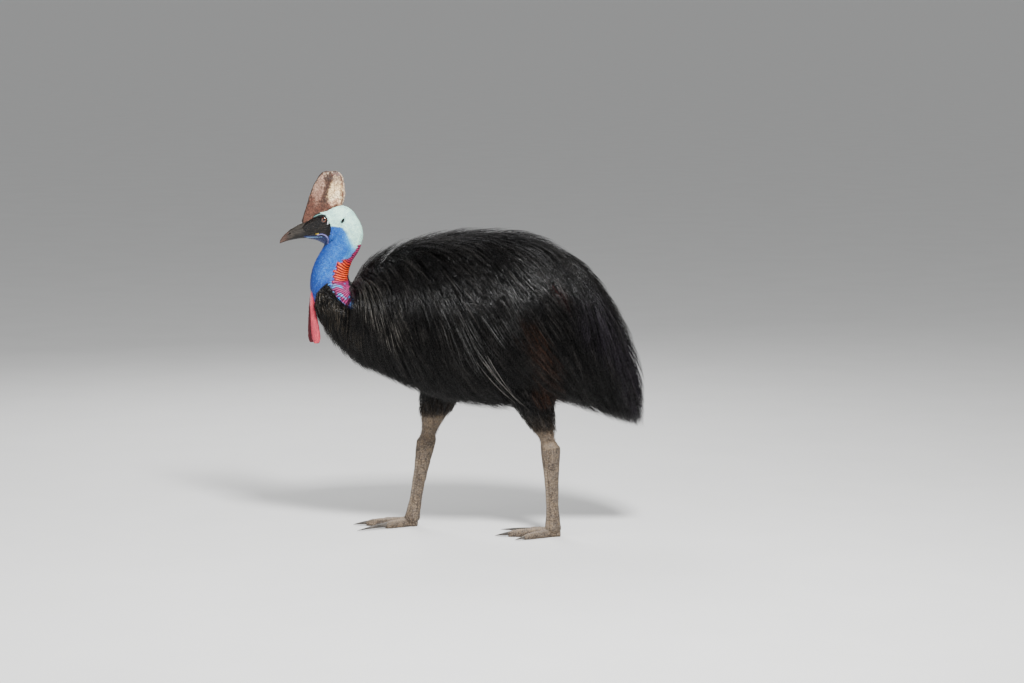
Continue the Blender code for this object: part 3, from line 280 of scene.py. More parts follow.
# Zones of the casque's colour: centre x and z, half sizes across and along, tilt; colour; strength.
CASQUE_ZONES = [
    ((-0.505, 1.215, 0.026, 0.046, 14), (0.330, 0.205, 0.145), 0.75),
    ((-0.512, 1.180, 0.022, 0.030, 14), (0.210, 0.105, 0.072), 0.60),
    ((-0.447, 1.195, 0.029, 0.046, 4), (0.700, 0.500, 0.270), 0.95),
    ((-0.444, 1.178, 0.020, 0.020, 0), (0.860, 0.690, 0.430), 0.85),
    ((-0.455, 1.160, 0.034, 0.011, 0), (0.420, 0.235, 0.155), 0.70),
    ((-0.428, 1.200, 0.004, 0.032, 2), (0.240, 0.130, 0.050), 0.75),
    ((-0.478, 1.205, 0.013, 0.060, 8), (0.045, 0.019, 0.011), 0.92),
    ((-0.470, 1.248, 0.020, 0.013, 0), (0.038, 0.018, 0.011), 0.95),
    ((-0.440, 1.245, 0.012, 0.022, -12), (0.420, 0.300, 0.195), 0.65),
    ((-0.478, 1.266, 0.028, 0.006, 0), (0.330, 0.240, 0.165), 0.70),
    ((-0.535, 1.130, 0.018, 0.040, 16), (0.100, 0.036, 0.022), 0.80),
]

# Each leg: hip, hock and foot.
LEGS = {
    "left": ((0.186, -0.086, 0.600), (0.300, -0.102, 0.314), (0.311, -0.098, 0.0)),
    "right": ((-0.050, 0.086, 0.600), (-0.138, 0.102, 0.308), (-0.195, 0.098, 0.0)),
}
# Share of the way from hip to hock, half depth, half width.
THIGH_GIRTH = [
    (0.00, 0.086, 0.056),
    (0.34, 0.080, 0.058),
    (0.60, 0.060, 0.049),
    (0.79, 0.042, 0.037),
    (0.91, 0.034, 0.030),
    (1.00, 0.0345, 0.030),
]
# Share of the way from hock to foot, half depth, half width.
SHANK_GIRTH = [
    (0.00, 0.0335, 0.029),
    (0.11, 0.0315, 0.026),
    (0.30, 0.0255, 0.0205),
    (0.62, 0.0210, 0.0180),
    (0.81, 0.0240, 0.0230),
    (0.91, 0.0270, 0.0290),
    (0.95, 0.0200, 0.0220),
]
# Each toe: turn from straight ahead in degrees, then distance from the foot's centre, half width, height.
TOES = {
    "middle": (2, [(-0.024, 0.014, 0.022), (0.000, 0.0205, 0.032), (0.045, 0.0190, 0.031),
                   (0.095, 0.0165, 0.027), (0.135, 0.0140, 0.023), (0.158, 0.0090, 0.016)]),
    "inner": (-31, [(0.004, 0.015, 0.026), (0.030, 0.0175, 0.028), (0.060, 0.0160, 0.027),
                    (0.085, 0.0140, 0.025), (0.100, 0.0100, 0.020)]),
    "outer": (33, [(0.004, 0.014, 0.024), (0.030, 0.0160, 0.026), (0.070, 0.0140, 0.024),
                   (0.105, 0.0115, 0.020), (0.122, 0.0075, 0.014)]),
}
# Each claw: start along its toe, length, radius at the root, height of its axis at the root.
CLAWS = {
    "middle": (0.140, 0.066, 0.0088, 0.0118),
    "inner": (0.082, 0.134, 0.0098, 0.0138),
    "outer": (0.106, 0.056, 0.0072, 0.0100),
}
CLAW_TIP_HEIGHT = 0.0035

# The wattles: z, x, half depth, half width, distance from the middle.
WATTLE_SECTIONS = [
    (0.866, -0.520, 0.0050, 0.0045, 0.010),
    (0.845, -0.531, 0.0065, 0.0050, 0.012),
    (0.810, -0.533, 0.0085, 0.0060, 0.014),
    (0.765, -0.531, 0.0115, 0.0075, 0.016),
    (0.720, -0.528, 0.0145, 0.0090, 0.018),
    (0.688, -0.526, 0.0145, 0.0090, 0.019),
    (0.670, -0.526, 0.0085, 0.0060, 0.019),
]
WATTLE_SPREAD = 0.009

# The coat's strands. Places along the body are counted in sections.
STRAND_LENGTHS = [(0.0, 0.070), (1.1, 0.120), (2.4, 0.190), (3.9, 0.240), (8.8, 0.260), (12.0, 0.200)]
STRAND_SLANTS = [(0.0, 30), (1.5, 44), (3.0, 55), (6.0, 52), (9.0, 38), (11.0, 14), (12.0, 4)]
STRAND_DENSITIES = [(0.0, 2.8), (1.5, 2.4), (3.0, 1.5), (4.5, 1.0), (9.5, 1.0), (11.6, 1.4)]
SLANT_FULL = 0.85
SLANT_ENDS = 2.30
STRAND_STEPS = 5
STRAND_WIDTHS = (0.55, 0.95, 1.00, 0.85, 0.55)
STRAND_THICKNESS = 0.8   # height of a strand's ridge against half its width
PATCH = 0.003            # size of a strand's patch in the bake map
BODY_STRANDS = 42000
THIGH_STRANDS = 2600
NECK_STRANDS = 12500
BELLY_TURN = (1.75, 2.50)     # from where to where the coat's lie gives way to strands that hang
BELLY_SHORTENING = 0.35
DROOP = 0.028
# The lower edge of the coat in side view, x and z, and how far strands end above or below it.
HEM = [(-0.324, 0.574), (-0.228, 0.530), (-0.120, 0.486), (-0.030, 0.456), (0.045, 0.446), (0.141, 0.440),
       (0.250, 0.448), (0.362, 0.458), (0.413, 0.437), (0.487, 0.413), (0.561, 0.388), (0.645, 0.364)]
HEM_FRAY = (-0.010, 0.016)
# Parts of the coat: first and last place along the body, name.
COAT_PARTS = [(0.0, 2.1, "breast"), (2.1, 3.5, "chest"), (3.5, 5.2, "shoulder"), (5.2, 6.6, "flank"),
              (6.6, 8.0, "rump"), (8.0, 12.1, "tail")]
THIGH_FEATHERS_END = {"left": 0.80, "right": 0.68}
THIGH_COAT = 0.011
THIGH_SKIN = -0.7
NECK_COAT = 0.017
# The edge of the bare skin from the throat to the nape, x and z, and up the nape in front of the back.
BARE_EDGE = [(-0.541, 0.802), (-0.523, 0.809), (-0.514, 0.848), (-0.494, 0.872), (-0.475, 0.886),
             (-0.459, 0.860), (-0.443, 0.832), (-0.408, 0.803), (-0.366, 0.788)]
# By height, how far back the bare skin reaches.
NAPE_EDGE = [(0.788, -0.366), (0.819, -0.383), (0.854, -0.400), (0.908, -0.410), (0.922, -0.300)]

FEATHER_BLACK = (0.0022, 0.0021, 0.0022)
FEATHER_LIGHT = (0.050, 0.046, 0.043)
# Where strands are paler or browner: path in side view, reach, colour, share of the strands, strength. The
# first four are painted highlights where the key light catches the coat; the next three are browner and
# redder feathers; the last gives the rump a bluish, ashen cast.
PAINTED_SHEENS_AND_TINTS = [
    ([(-0.345, 0.865), (-0.290, 0.805), (-0.230, 0.735)], 0.095, (0.180, 0.168, 0.150), 0.22, 0.75),
    ([(0.247, 0.975), (0.190, 0.885), (0.124, 0.749)], 0.070, (0.150, 0.150, 0.150), 0.35, 0.70),
    ([(-0.085, 0.810), (0.000, 0.720), (0.055, 0.640)], 0.090, (0.150, 0.150, 0.148), 0.22, 0.75),
    ([(-0.120, 1.035), (0.100, 1.050), (0.290, 1.005)], 0.055, (0.085, 0.085, 0.088), 0.45, 0.60),
    ([(-0.505, 0.825), (-0.450, 0.765), (-0.400, 0.715)], 0.075, (0.130, 0.108, 0.080), 0.22, 0.75),
    ([(0.225, 0.730), (0.270, 0.630), (0.275, 0.500)], 0.075, (0.085, 0.034, 0.016), 0.45, 0.50),
    ([(0.305, 0.885), (0.330, 0.870)], 0.030, (0.130, 0.020, 0.016), 0.35, 0.60),
    ([(0.430, 0.800), (0.555, 0.620), (0.610, 0.450)], 0.100, (0.036, 0.030, 0.041), 0.70, 0.70),
]

# Folds across the hind neck. By place along the neck: the fold's number.
FOLD_COUNT = [(5.55, 0.0), (6.95, 11.0), (9.30, 20.5), (11.80, 32.5)]
# By number: height, and how far each fold reaches round from the nape, in radians.
FOLD_HEIGHTS = [(0.0, 0.0000), (0.8, 0.0020), (9.5, 0.0024), (11.5, 0.0050), (19.5, 0.0050), (22.0, 0.0030),
                (32.0, 0.0026)]
FOLD_REACH = [(0.0, 0.55), (4.0, 0.62), (9.0, 0.74), (11.0, 0.95), (13.0, 1.18), (18.0, 1.28), (20.5, 1.30),
              (24.0, 1.50), (30.0, 1.50)]
# Blue folds in front of the coloured ones: reach round from the nape.
WAVE_REACH = [(17.0, 1.30), (20.0, 1.85), (24.0, 2.30), (30.0, 2.50)]
WAVE_HEIGHT = 0.0022

# The wing's bare quills: start and end in side view, and sag of each below the straight line.
QUILLS = [
    ((0.048, 0.652), (0.219, 0.467), 0.012),
    ((0.060, 0.650), (0.196, 0.482), 0.009),
    ((0.080, 0.652), (0.172, 0.512), 0.006),
    ((0.040, 0.632), (0.176, 0.486), 0.010),
]
# Base, worn and dark tones of the quills and of the claws.
QUILL_TONES = ((0.055, 0.050, 0.046), (0.110, 0.100, 0.090), (0.022, 0.019, 0.017))
CLAW_TONES = ((0.035, 0.030, 0.026), (0.10, 0.085, 0.07), (0.018, 0.015, 0.013))
QUILL_LIFT = 0.010
QUILL_RADIUS = 0.0011
QUILL_REACH = 0.2340


# Numbers that scramble places into the centres of random cells.
HASH_ROWS = ((12.9898, 78.233, 37.719), (93.9898, 67.345, 11.135), (43.332, 17.156, 71.831))
HASH_SPREAD = 43758.5453

ACROSS = np.array([0.0, 1.0, 0.0])
UP = np.array([0.0, 0.0, 1.0])
AHEAD = np.array([1.0, 0.0, 0.0])


# Numbers and meshes

def spline(rows, place):
    """Rows of numbers read at places counted in rows, on a smooth curve through them."""
    rows = np.asarray(rows, float)
    rows = np.vstack([2 * rows[0] - rows[1], rows, 2 * rows[-1] - rows[-2]])
    place = np.clip(np.asarray(place, float), 0, len(rows) - 3)
    low = np.minimum(place.astype(int), len(rows) - 4)
    part = (place - low)[..., None]
    a, b, c, d = (rows[low + i] for i in range(4))
    return b + 0.5 * part * (c - a + part * (2 * a - 5 * b + 4 * c - d + part * (3 * (b - c) + d - a)))


def table(rows, place):
    """The second number of each row, read at places given by the first."""
    return np.interp(place, [row[0] for row in rows], [row[1] for row in rows])


def smooth(low, high, value):
    """0 below low, 1 above high, and a soft step between them."""
    share = np.clip((value - low) / (high - low), 0, 1)
    return share * share * (3 - 2 * share)


def path_distance(x, z, path):
    """Distance in side view from points to a smooth line."""
    line = spline(path, np.linspace(0, len(path) - 1, 6 * len(path)))
    nearest = np.full(len(x), np.inf)
    for (start_x, start_z), (end_x, end_z) in zip(line[:-1], line[1:]):
        step_x, step_z = end_x - start_x, end_z - start_z
        share = ((x - start_x) * step_x + (z - start_z) * step_z) / (step_x ** 2 + step_z ** 2)
        share = np.clip(share, 0, 1)
        nearest = np.minimum(nearest, np.hypot(x - start_x - share * step_x, z - start_z - share * step_z))
    return nearest


def ripple(points, scale, seed):
    """Soft random waves over space, from about -1 to 1."""
    rng = np.random.default_rng(SEED + seed)
    total = np.zeros(len(points))
    for _ in range(6):
        direction = unit(rng.normal(size=3))
        pace = 2 * math.pi / scale * rng.uniform(0.6, 1.5)
        total += np.sin(points @ direction * pace + rng.uniform(0, 2 * math.pi))
    return total / 3.0


def scrambled(values):
    """Numbers from 0 to 1 that look random but depend only on values."""
    spread = np.sin(values) * HASH_SPREAD
    return spread - np.floor(spread)


def cell_depth(points, size, seed):
    """Depth of points in random cells of a size: 0 on their borders, about 1 in their middles."""
    grid = np.floor(points / size).astype(int)
    nearest, second = np.full(len(points), 9.0), np.full(len(points), 9.0)
    for offset in itertools.product((-1, 0, 1), repeat=3):
        corner = grid + offset
        jitter = np.stack([scrambled(corner @ np.array(row) + seed) for row in HASH_ROWS], -1)
        centre = corner + 0.1 + 0.8 * jitter
        distance = np.linalg.norm(points / size - centre, axis=1)
        second = np.minimum(second, np.maximum(nearest, distance))
        nearest = np.minimum(nearest, distance)
    return np.clip((second - nearest) * 1.6, 0, 1)


def unit(vectors):
    """Vectors at length 1."""
    return vectors / np.maximum(np.linalg.norm(vectors, axis=-1, keepdims=True), 1e-12)


def dot(a, b):
    """Dot products, kept as a last axis of one."""
    return (a * b).sum(-1, keepdims=True)


def mesh_object(name, verts, faces, material=None):
    """An object from an array of points and an array of triangles or quads."""
    mesh = bpy.data.meshes.new(name)
    mesh.vertices.add(len(verts))
    mesh.vertices.foreach_set("co", np.ascontiguousarray(verts, np.float32).ravel())
    mesh.loops.add(faces.size)
    mesh.loops.foreach_set("vertex_index", np.ascontiguousarray(faces, np.int32).ravel())
    mesh.polygons.add(len(faces))
    mesh.polygons.foreach_set("loop_start", np.arange(0, faces.size, faces.shape[1], dtype=np.int32))
    mesh.update(calc_edges=True)
    mesh.shade_smooth()
    if material:
        mesh.materials.append(material)
    obj = bpy.data.objects.new(name, mesh)
    bpy.context.scene.collection.objects.link(obj)
    return obj


def set_attribute(obj, name, values):
    """A number on each point of a mesh."""
    attribute = obj.data.attributes.new(name, "FLOAT", "POINT")
    attribute.data.foreach_set("value", np.ascontiguousarray(values, np.float32).ravel())


def set_colour(obj, name, colours):
    """A colour on each point of a mesh."""
    attribute = obj.data.color_attributes.new(name, "FLOAT_COLOR", "POINT")
    opaque = np.concatenate([colours, np.ones((len(colours), 1))], axis=1)
    attribute.data.foreach_set("color", opaque.astype(np.float32).ravel())


def points_of(obj):
    """A mesh's points as an array."""
    places = np.empty(len(obj.data.vertices) * 3, np.float32)
    obj.data.vertices.foreach_get("co", places)
    return places.reshape(-1, 3).astype(float)


def normals_of(obj):
    """The normals at a mesh's points."""
    normals = np.empty(len(obj.data.vertices) * 3, np.float32)
    obj.data.vertex_normals.foreach_get("vector", normals)
    return normals.reshape(-1, 3).astype(float)


def set_points(obj, places):
    """Moves a mesh's points."""
    obj.data.vertices.foreach_set("co", np.ascontiguousarray(places, np.float32).ravel())
    obj.data.update()


def apply_modifiers(obj):
    """Replaces a mesh with what its modifiers make of it."""
    bpy.context.view_layer.update()
    mesh = bpy.data.meshes.new_from_object(obj.evaluated_get(bpy.context.evaluated_depsgraph_get()))
    old = obj.data
    obj.modifiers.clear()
    obj.data = mesh
    bpy.data.meshes.remove(old)


def grid_faces(rows, ring, closed=False):
    """Quads of a tube of rings of points, numbered row by row. A closed tube meets its own start."""
    i, j = np.meshgrid(np.arange(rows if closed else rows - 1), np.arange(ring), indexing="ij")
    k = (j + 1) % ring
    after = (i + 1) % rows
    return np.stack([i * ring + j, i * ring + k, after * ring + k, after * ring + j], -1).reshape(-1, 4)


def facing_out(obj, verts, triangles):
    """A closed object, turned inside out if its faces point inwards."""
    first, second, third = (verts[triangles[:, corner]] for corner in range(3))
    if np.einsum("ij,ij->", first, np.cross(second, third)) < 0:
        obj.data.flip_normals()
    return obj


def tube(name, rings, material=None):
    """A closed surface over rings of points, an array (ring, point, xyz), with a fan on each end."""
    rows, count = rings.shape[:2]
    quads = grid_faces(rows, count)
    centres = rings[[0, -1]].mean(1)
    verts = np.concatenate([rings.reshape(-1, 3), centres])
    j = np.arange(count)
    k = (j + 1) % count
    first = np.stack([j, np.full(count, rows * count), k], -1)
    last = np.stack([(rows - 1) * count + j, (rows - 1) * count + k, np.full(count, rows * count + 1)], -1)
    triangles = np.concatenate([quads[:, [0, 1, 2]], quads[:, [0, 2, 3]], first, last])
    obj = mesh_object(name, verts, triangles, material)
    return facing_out(obj, verts, triangles)


def hoop(name, rings):
    """A closed ring of rings of points, like a band round a finger."""
    quads = grid_faces(*rings.shape[:2], closed=True)
    triangles = np.concatenate([quads[:, [0, 1, 2]], quads[:, [0, 2, 3]]])
    verts = rings.reshape(-1, 3)
    obj = mesh_object(name, verts, triangles)
    return facing_out(obj, verts, triangles)


def blob(centre, sizes, tilt):
    """A rounded form, tilted in side view."""
    share = np.linspace(0.04, math.pi - 0.04, 24)
    rings = ovals(np.stack([-np.cos(share), 0 * share, 0 * share], -1), np.tile(UP, (24, 1)),
                  np.tile(ACROSS, (24, 1)), np.sin(share), np.sin(share), 32) * np.array(sizes)
    turn = math.radians(tilt)
    rings = np.stack([rings[..., 0] * math.cos(turn) - rings[..., 2] * math.sin(turn), rings[..., 1],
                      rings[..., 0] * math.sin(turn) + rings[..., 2] * math.cos(turn)], -1)
    return tube("blob", rings + np.array(centre))


def ovals(centres, ups, sides, half_ups, half_sides, count, sag=0.0, power=1.0):
    """Rings of points round ovals, from the top of each towards its side. A power below 1 squares them."""
    turn = np.linspace(0, 2 * math.pi, count, endpoint=False)
    rise = np.sign(np.cos(turn)) * np.abs(np.cos(turn)) ** power
    reach = np.sign(np.sin(turn)) * np.abs(np.sin(turn)) ** power
    up = np.asarray(ups)[:, None] * (np.asarray(half_ups)[:, None] * rise)[..., None]
    reach = np.asarray(half_sides)[:, None] * reach * (1 - sag * rise)
    side = np.asarray(sides)[:, None] * reach[..., None]
    return np.asarray(centres)[:, None] + up + side


def joined(name, objects):
    """One object from several, which are removed."""
    verts, faces, start = [], [], 0
    for obj in objects:
        places = points_of(obj)
        obj.data.calc_loop_triangles()
        corners = np.empty(len(obj.data.loop_triangles) * 3, np.int32)
        obj.data.loop_triangles.foreach_get("vertices", corners)
        verts.append(places)
        faces.append(corners.reshape(-1, 3) + start)
        start += len(places)
        discard(obj)
    return mesh_object(name, np.concatenate(verts), np.concatenate(faces))


def discard(obj):
    """Removes an object and its mesh."""
    mesh = obj.data
    bpy.data.objects.remove(obj)
    bpy.data.meshes.remove(mesh)


def remeshed(name, objects, voxel, smoothing):
    """One even skin over closed objects that overlap."""
    obj = joined(name, objects)
    remesh = obj.modifiers.new("remesh", "REMESH")
    remesh.mode = "VOXEL"
    remesh.voxel_size = voxel
    relax = obj.modifiers.new("relax", "SMOOTH")
    relax.factor = 0.5
    relax.iterations = smoothing
    apply_modifiers(obj)
    return obj


def unite(obj, others, operation="UNION"):
    """Fuses closed objects into obj, or cuts them out of it, and removes them."""
    for other in others:
        modifier = obj.modifiers.new("unite", "BOOLEAN")
        modifier.operation = operation
        modifier.object = other
        modifier.solver = "MANIFOLD"
        apply_modifiers(obj)
        discard(other)


# Node materials

class Paint:
    """A node material. Each method adds a node and returns its output."""

    def __init__(self, name, roughness, **settings):
        self.material = bpy.data.materials.new(name)
        self.material.use_nodes = True
        self.tree = self.material.node_tree
        self.shader = self.tree.nodes["Principled BSDF"]
        self.shader.inputs["Roughness"].default_value = roughness
        for key, value in settings.items():
            self.shader.inputs[key.replace("_", " ").title().replace("Ior", "IOR")].default_value = value
        self.place = self.node("ShaderNodeTexCoord").outputs["Object"]

    def node(self, kind, settings=None, **inputs):
        made = self.tree.nodes.new(kind)
        for key, value in (settings or {}).items():
            setattr(made, key, value)
        for key, value in inputs.items():
            self.feed(made.inputs[key.replace("_", " ")], value)
        return made

    def feed(self, socket, value):
        if isinstance(value, bpy.types.NodeSocket):
            self.tree.links.new(value, socket)
        elif socket.type == "RGBA" and len(value) == 3:
            socket.default_value = (*value, 1.0)
        else:
            socket.default_value = value

    def stretched(self, scale):
        return self.node("ShaderNodeMapping", Vector=self.place, Scale=scale).outputs["Vector"]

    def noise(self, scale, detail=4.0, rough=0.55, distortion=0.0, place=None):
        made = self.node("ShaderNodeTexNoise", Vector=place or self.place, Scale=scale, Detail=detail,
                         Roughness=rough, Distortion=distortion)
        return made.outputs["Fac"]

    def cells(self, scale):
        made = self.node("ShaderNodeTexVoronoi", Vector=self.place, Scale=scale)
        return made.outputs["Distance"]

    def attribute(self, name, output="Fac"):
        return self.node("ShaderNodeAttribute", {"attribute_name": name}).outputs[output]

    def math(self, operation, a, b=0.0):
        made = self.node("ShaderNodeMath", {"operation": operation})
        self.feed(made.inputs[0], a)
        self.feed(made.inputs[1], b)
        return made.outputs[0]

    def span(self, value, low, high, to_low=0.0, to_high=1.0):
        made = self.node("ShaderNodeMapRange", {"interpolation_type": "SMOOTHSTEP"}, Value=value)
        made.inputs["From Min"].default_value = low
        made.inputs["From Max"].default_value = high
        made.inputs["To Min"].default_value = to_low
        made.inputs["To Max"].default_value = to_high
        return made.outputs["Result"]

    def mix(self, share, a, b, blend="MIX"):
        made = self.node("ShaderNodeMix", {"data_type": "RGBA", "blend_type": blend})
        for socket, value in zip((made.inputs[0], made.inputs[6], made.inputs[7]), (share, a, b)):
            self.feed(socket, value)
        return made.outputs[2]

    def bump(self, height, strength, distance, below=None):
        made = self.node("ShaderNodeBump", Height=height, Strength=strength, Distance=distance)
        if below:
            self.feed(made.inputs["Normal"], below)
        return made.outputs["Normal"]

    def finish(self, colour, normal=None, roughness=None):
        self.feed(self.shader.inputs["Base Color"], colour)
        if normal:
            self.feed(self.shader.inputs["Normal"], normal)
        if roughness:
            self.feed(self.shader.inputs["Roughness"], roughness)
        return self.material


def plumage_material():
    """Glossy black plumage, each strand in its own tone."""
    paint = Paint("plumage", 0.28, specular_ior_level=0.24)
    streak = paint.noise(300, 2.0, place=paint.stretched((1.0, 1.0, 0.3)))
    tone = paint.mix(paint.span(streak, 0.35, 0.70), (0.62, 0.62, 0.62), (1.35, 1.32, 1.30))
    colour = paint.mix(1.0, paint.attribute("paint", "Color"), tone, "MULTIPLY")
    return paint.finish(colour, roughness=paint.span(streak, 0.3, 0.7, 0.21, 0.36))


def skin_material():
    """Bare skin: its painted zones, with speckles, fine pebbles painted paler on top as highlight and darker
    between them as shade, and creases.
    """
    paint = Paint("skin", 0.46, specular_ior_level=0.24)
    zones = paint.attribute("paint", "Color")
    pebbles = paint.cells(520)
    speckle = paint.noise(820, 3.0)
    patchy = paint.noise(55, 5.0)
    # The pebbles' raised middles are painted paler as highlights, their borders darker as shade.
    tone = paint.mix(paint.span(pebbles, 0.10, 0.60), (1.55, 1.42, 1.22), (0.50, 0.54, 0.68))
    colour = paint.mix(0.8, zones, tone, "MULTIPLY")
    tone = paint.mix(paint.span(speckle, 0.54, 0.68), (1.0, 1.0, 1.0), (0.30, 0.36, 0.50))
    colour = paint.mix(0.85, colour, tone, "MULTIPLY")
    tone = paint.mix(paint.span(patchy, 0.35, 0.65), (0.80, 0.82, 0.86), (1.16, 1.14, 1.10))
    colour = paint.mix(1.0, colour, tone, "MULTIPLY")
    fine = paint.bump(paint.noise(1500, 2.0), 0.30, 0.0004)
    normal = paint.bump(paint.span(pebbles, 0.0, 0.6), 0.55, -0.0006, fine)
    rough = paint.math("ADD", paint.attribute("rough"), paint.span(patchy, 0.3, 0.7, -0.06, 0.06))
    return paint.finish(colour, normal, rough)


def horn_material(name, base, light, dark, roughness):
    """Horn with a fine grain along the surface and worn paler places."""
    paint = Paint(name, roughness)
    grain = paint.noise(180, 6.0, 0.6, place=paint.stretched((0.35, 1.0, 1.0)))
    colour = paint.mix(paint.span(grain, 0.40, 0.70), base, light)
    colour = paint.mix(paint.span(paint.noise(40, 3.0), 0.45, 0.70, 0.0, 0.7), colour, dark)
    normal = paint.bump(grain, 0.30, 0.0006)
    return paint.finish(colour, normal, paint.span(grain, 0.3, 0.7, roughness - 0.06, roughness + 0.10))


def bill_material():
    """Dark horn in its painted tones, with fine lines along the bill."""
    paint = Paint("bill", 0.38, specular_ior_level=0.34)
    lines = paint.noise(260, 5.0, 0.6, place=paint.stretched((0.22, 1.0, 1.0)))
    tone = paint.mix(paint.span(lines, 0.35, 0.68), (0.60, 0.60, 0.60), (1.70, 1.62, 1.55))
    colour = paint.mix(1.0, paint.attribute("paint", "Color"), tone, "MULTIPLY")
    normal = paint.bump(lines, 0.35, 0.0007, paint.bump(paint.noise(60, 4.0), 0.3, 0.0015))
    return paint.finish(colour, normal, paint.span(lines, 0.3, 0.7, 0.32, 0.50))


def casque_material():
    """Worn horn in its painted tones, finely mottled and scratched."""
    paint = Paint("casque", 0.45, specular_ior_level=0.32)
    mottle = paint.noise(210, 8.0, 0.66, 0.8)
    scratch = paint.noise(420, 5.0, 0.6, 0.4, place=paint.stretched((1.0, 1.0, 0.35)))
    colour = paint.attribute("paint", "Color")
    tone = paint.mix(paint.span(mottle, 0.40, 0.60), (0.30, 0.25, 0.22), (1.45, 1.48, 1.50))
    colour = paint.mix(0.9, colour, tone, "MULTIPLY")
    colour = paint.mix(paint.span(scratch, 0.58, 0.70, 0.0, 0.35), colour, (0.40, 0.30, 0.19))
    colour = paint.mix(paint.span(scratch, 0.44, 0.34, 0.0, 0.60), colour, (0.050, 0.026, 0.018))
    normal = paint.bump(scratch, 0.45, 0.0009, paint.bump(mottle, 0.5, 0.0018))
    return paint.finish(colour, normal, paint.span(mottle, 0.3, 0.7, 0.36, 0.56))


def eye_material():
    """A black pupil, an orange-brown iris with fine rays, and a dark rim, under a wet cornea."""
    paint = Paint("eye", 0.06, coat_weight=0.6, coat_roughness=0.02)
    radius = paint.attribute("radius")
    rays = paint.noise(900, 3.0)
    iris = paint.mix(paint.span(rays, 0.35, 0.65), (0.034, 0.007, 0.002), (0.130, 0.028, 0.007))
    colour = paint.mix(paint.span(radius, 0.30, 0.35), (0.001, 0.001, 0.001), iris)
    colour = paint.mix(paint.span(radius, 0.52, 0.62), colour, (0.006, 0.003, 0.002))
    return paint.finish(colour)


def floor_material():
    """A plain pale floor."""
    paint = Paint("floor", 0.85)
    return paint.finish(paint.mix(paint.noise(3, 3.0), (0.70, 0.70, 0.69), (0.76, 0.76, 0.75)))


# Body and coat

def body_ring(section, turn):
    """Points of body sections, turn 0 at the ridge and growing towards -Y."""
    x, z, lean, half_height, half_width = np.moveaxis(section, -1, 0)
    lean = np.radians(lean)
    rise, reach = np.cos(turn), np.sin(turn)
    up = half_height * rise
    out = -half_width * reach * (1 - BODY_SAG * rise)
    return np.stack([x + np.sin(lean) * up, out, z + np.cos(lean) * up], -1)


def coat_place(along, turn, depth):
    """Points between the body's core, depth 0, and the outside of its coat, depth 1."""
    inner = body_ring(spline(BODY_SECTIONS, along), turn)
    outer = body_ring(spline(COAT_SECTIONS, along), turn)
    return inner + (outer - inner) * np.asarray(depth)[..., None]


def surface_frame(place, along, turn, depth):
    """Steps over a surface per unit of along and of turn, its directions back and down, and its normal."""
    nudge = 0.01
    step_along = (place(along + nudge, turn, depth) - place(along - nudge, turn, depth)) / (2 * nudge)
    step_turn = (place(along, turn + nudge, depth) - place(along, turn - nudge, depth)) / (2 * nudge)
    back = unit(step_along)
    down = unit(step_turn - back * dot(step_turn, back)) * np.where(turn < 0, -1.0, 1.0)[:, None]
    normal = unit(np.cross(back, down))
    outward = place(along, turn, depth + 0.1) - place(along, turn, depth)
    normal = normal * np.where(dot(normal, outward) < 0, -1.0, 1.0)
    return step_along, step_turn, back, down, normal


def body_slant(along, turn):
    """How far the coat's lie turns from straight back towards the belly, in radians."""
    around = np.abs(turn)
    full = smooth(-0.10, SLANT_FULL, around) * (1 - smooth(SLANT_ENDS, math.pi, around))
    return np.radians(table(STRAND_SLANTS, along)) * full


def trace(place, slant_of, last, along, turn, lengths, depths, swing):
    """Paths of strands over a surface. depths holds the depth of their roots and of their tips.
    Returns arrays (strand, step, xyz) of their points and of normals."""
    along, turn = along.copy(), turn.copy()
    side = np.where(turn < 0, -1.0, 1.0)
    step = (lengths / STRAND_STEPS)[:, None]
    points, normals = [], []
    heading = None
    for i in range(STRAND_STEPS + 1):
        share = i / STRAND_STEPS
        depth = depths[0] + (depths[1] - depths[0]) * math.sin(share * math.pi / 2) ** 0.8
        clipped = np.clip(along, 0.01, last - 0.01)
        step_along, step_turn, back, down, normal = surface_frame(place, clipped, turn, depth)
        spot = place(along, turn, depth)
        angle = (slant_of(along, turn) + swing)[:, None]
        lie = back * np.cos(angle) + down * np.sin(angle)
        if heading is not None:
            past = (along > last - 0.15)[:, None]
            spot = np.where(past, points[-1] + heading * step, spot)
        points.append(spot)
        normals.append(normal)
        if i:
            heading = unit(points[-1] - points[-2])
            heading = unit(heading + np.array([0.0, 0.0, -0.12]))
        a, b, c = dot(step_along, step_along), dot(step_along, step_turn), dot(step_turn, step_turn)
        p, q = dot(lie, step_along), dot(lie, step_turn)
        spread = np.maximum(a * c - b * b, 1e-9)
        along = np.clip(along + ((p * c - q * b) / spread * step)[:, 0], 0, last)
        turn = turn + ((q * a - p * b) / spread * step)[:, 0]
        turn = np.where(side < 0, np.clip(turn, -math.pi, 0.02), np.clip(turn, -0.02, math.pi))
    return np.stack(points, 1), np.stack(normals, 1)


def clumped(points, count, pull, rng):
    """Draws the tips of neighbouring strands together, towards the strands picked as leaders."""
    leaders = rng.choice(len(points), count, replace=False)
    tree = KDTree(count)
    for i, leader in enumerate(leaders):
        tree.insert(points[leader, 2], i)
    tree.balance()
    nearest = np.array([leaders[tree.find(point)[1]] for point in points[:, 2]])
    share = np.linspace(0, 1, points.shape[1])[None, :, None]
    strength = rng.uniform(*pull, len(points))[:, None, None] * share ** 1.4
    return points + (points[nearest] - points) * strength, nearest


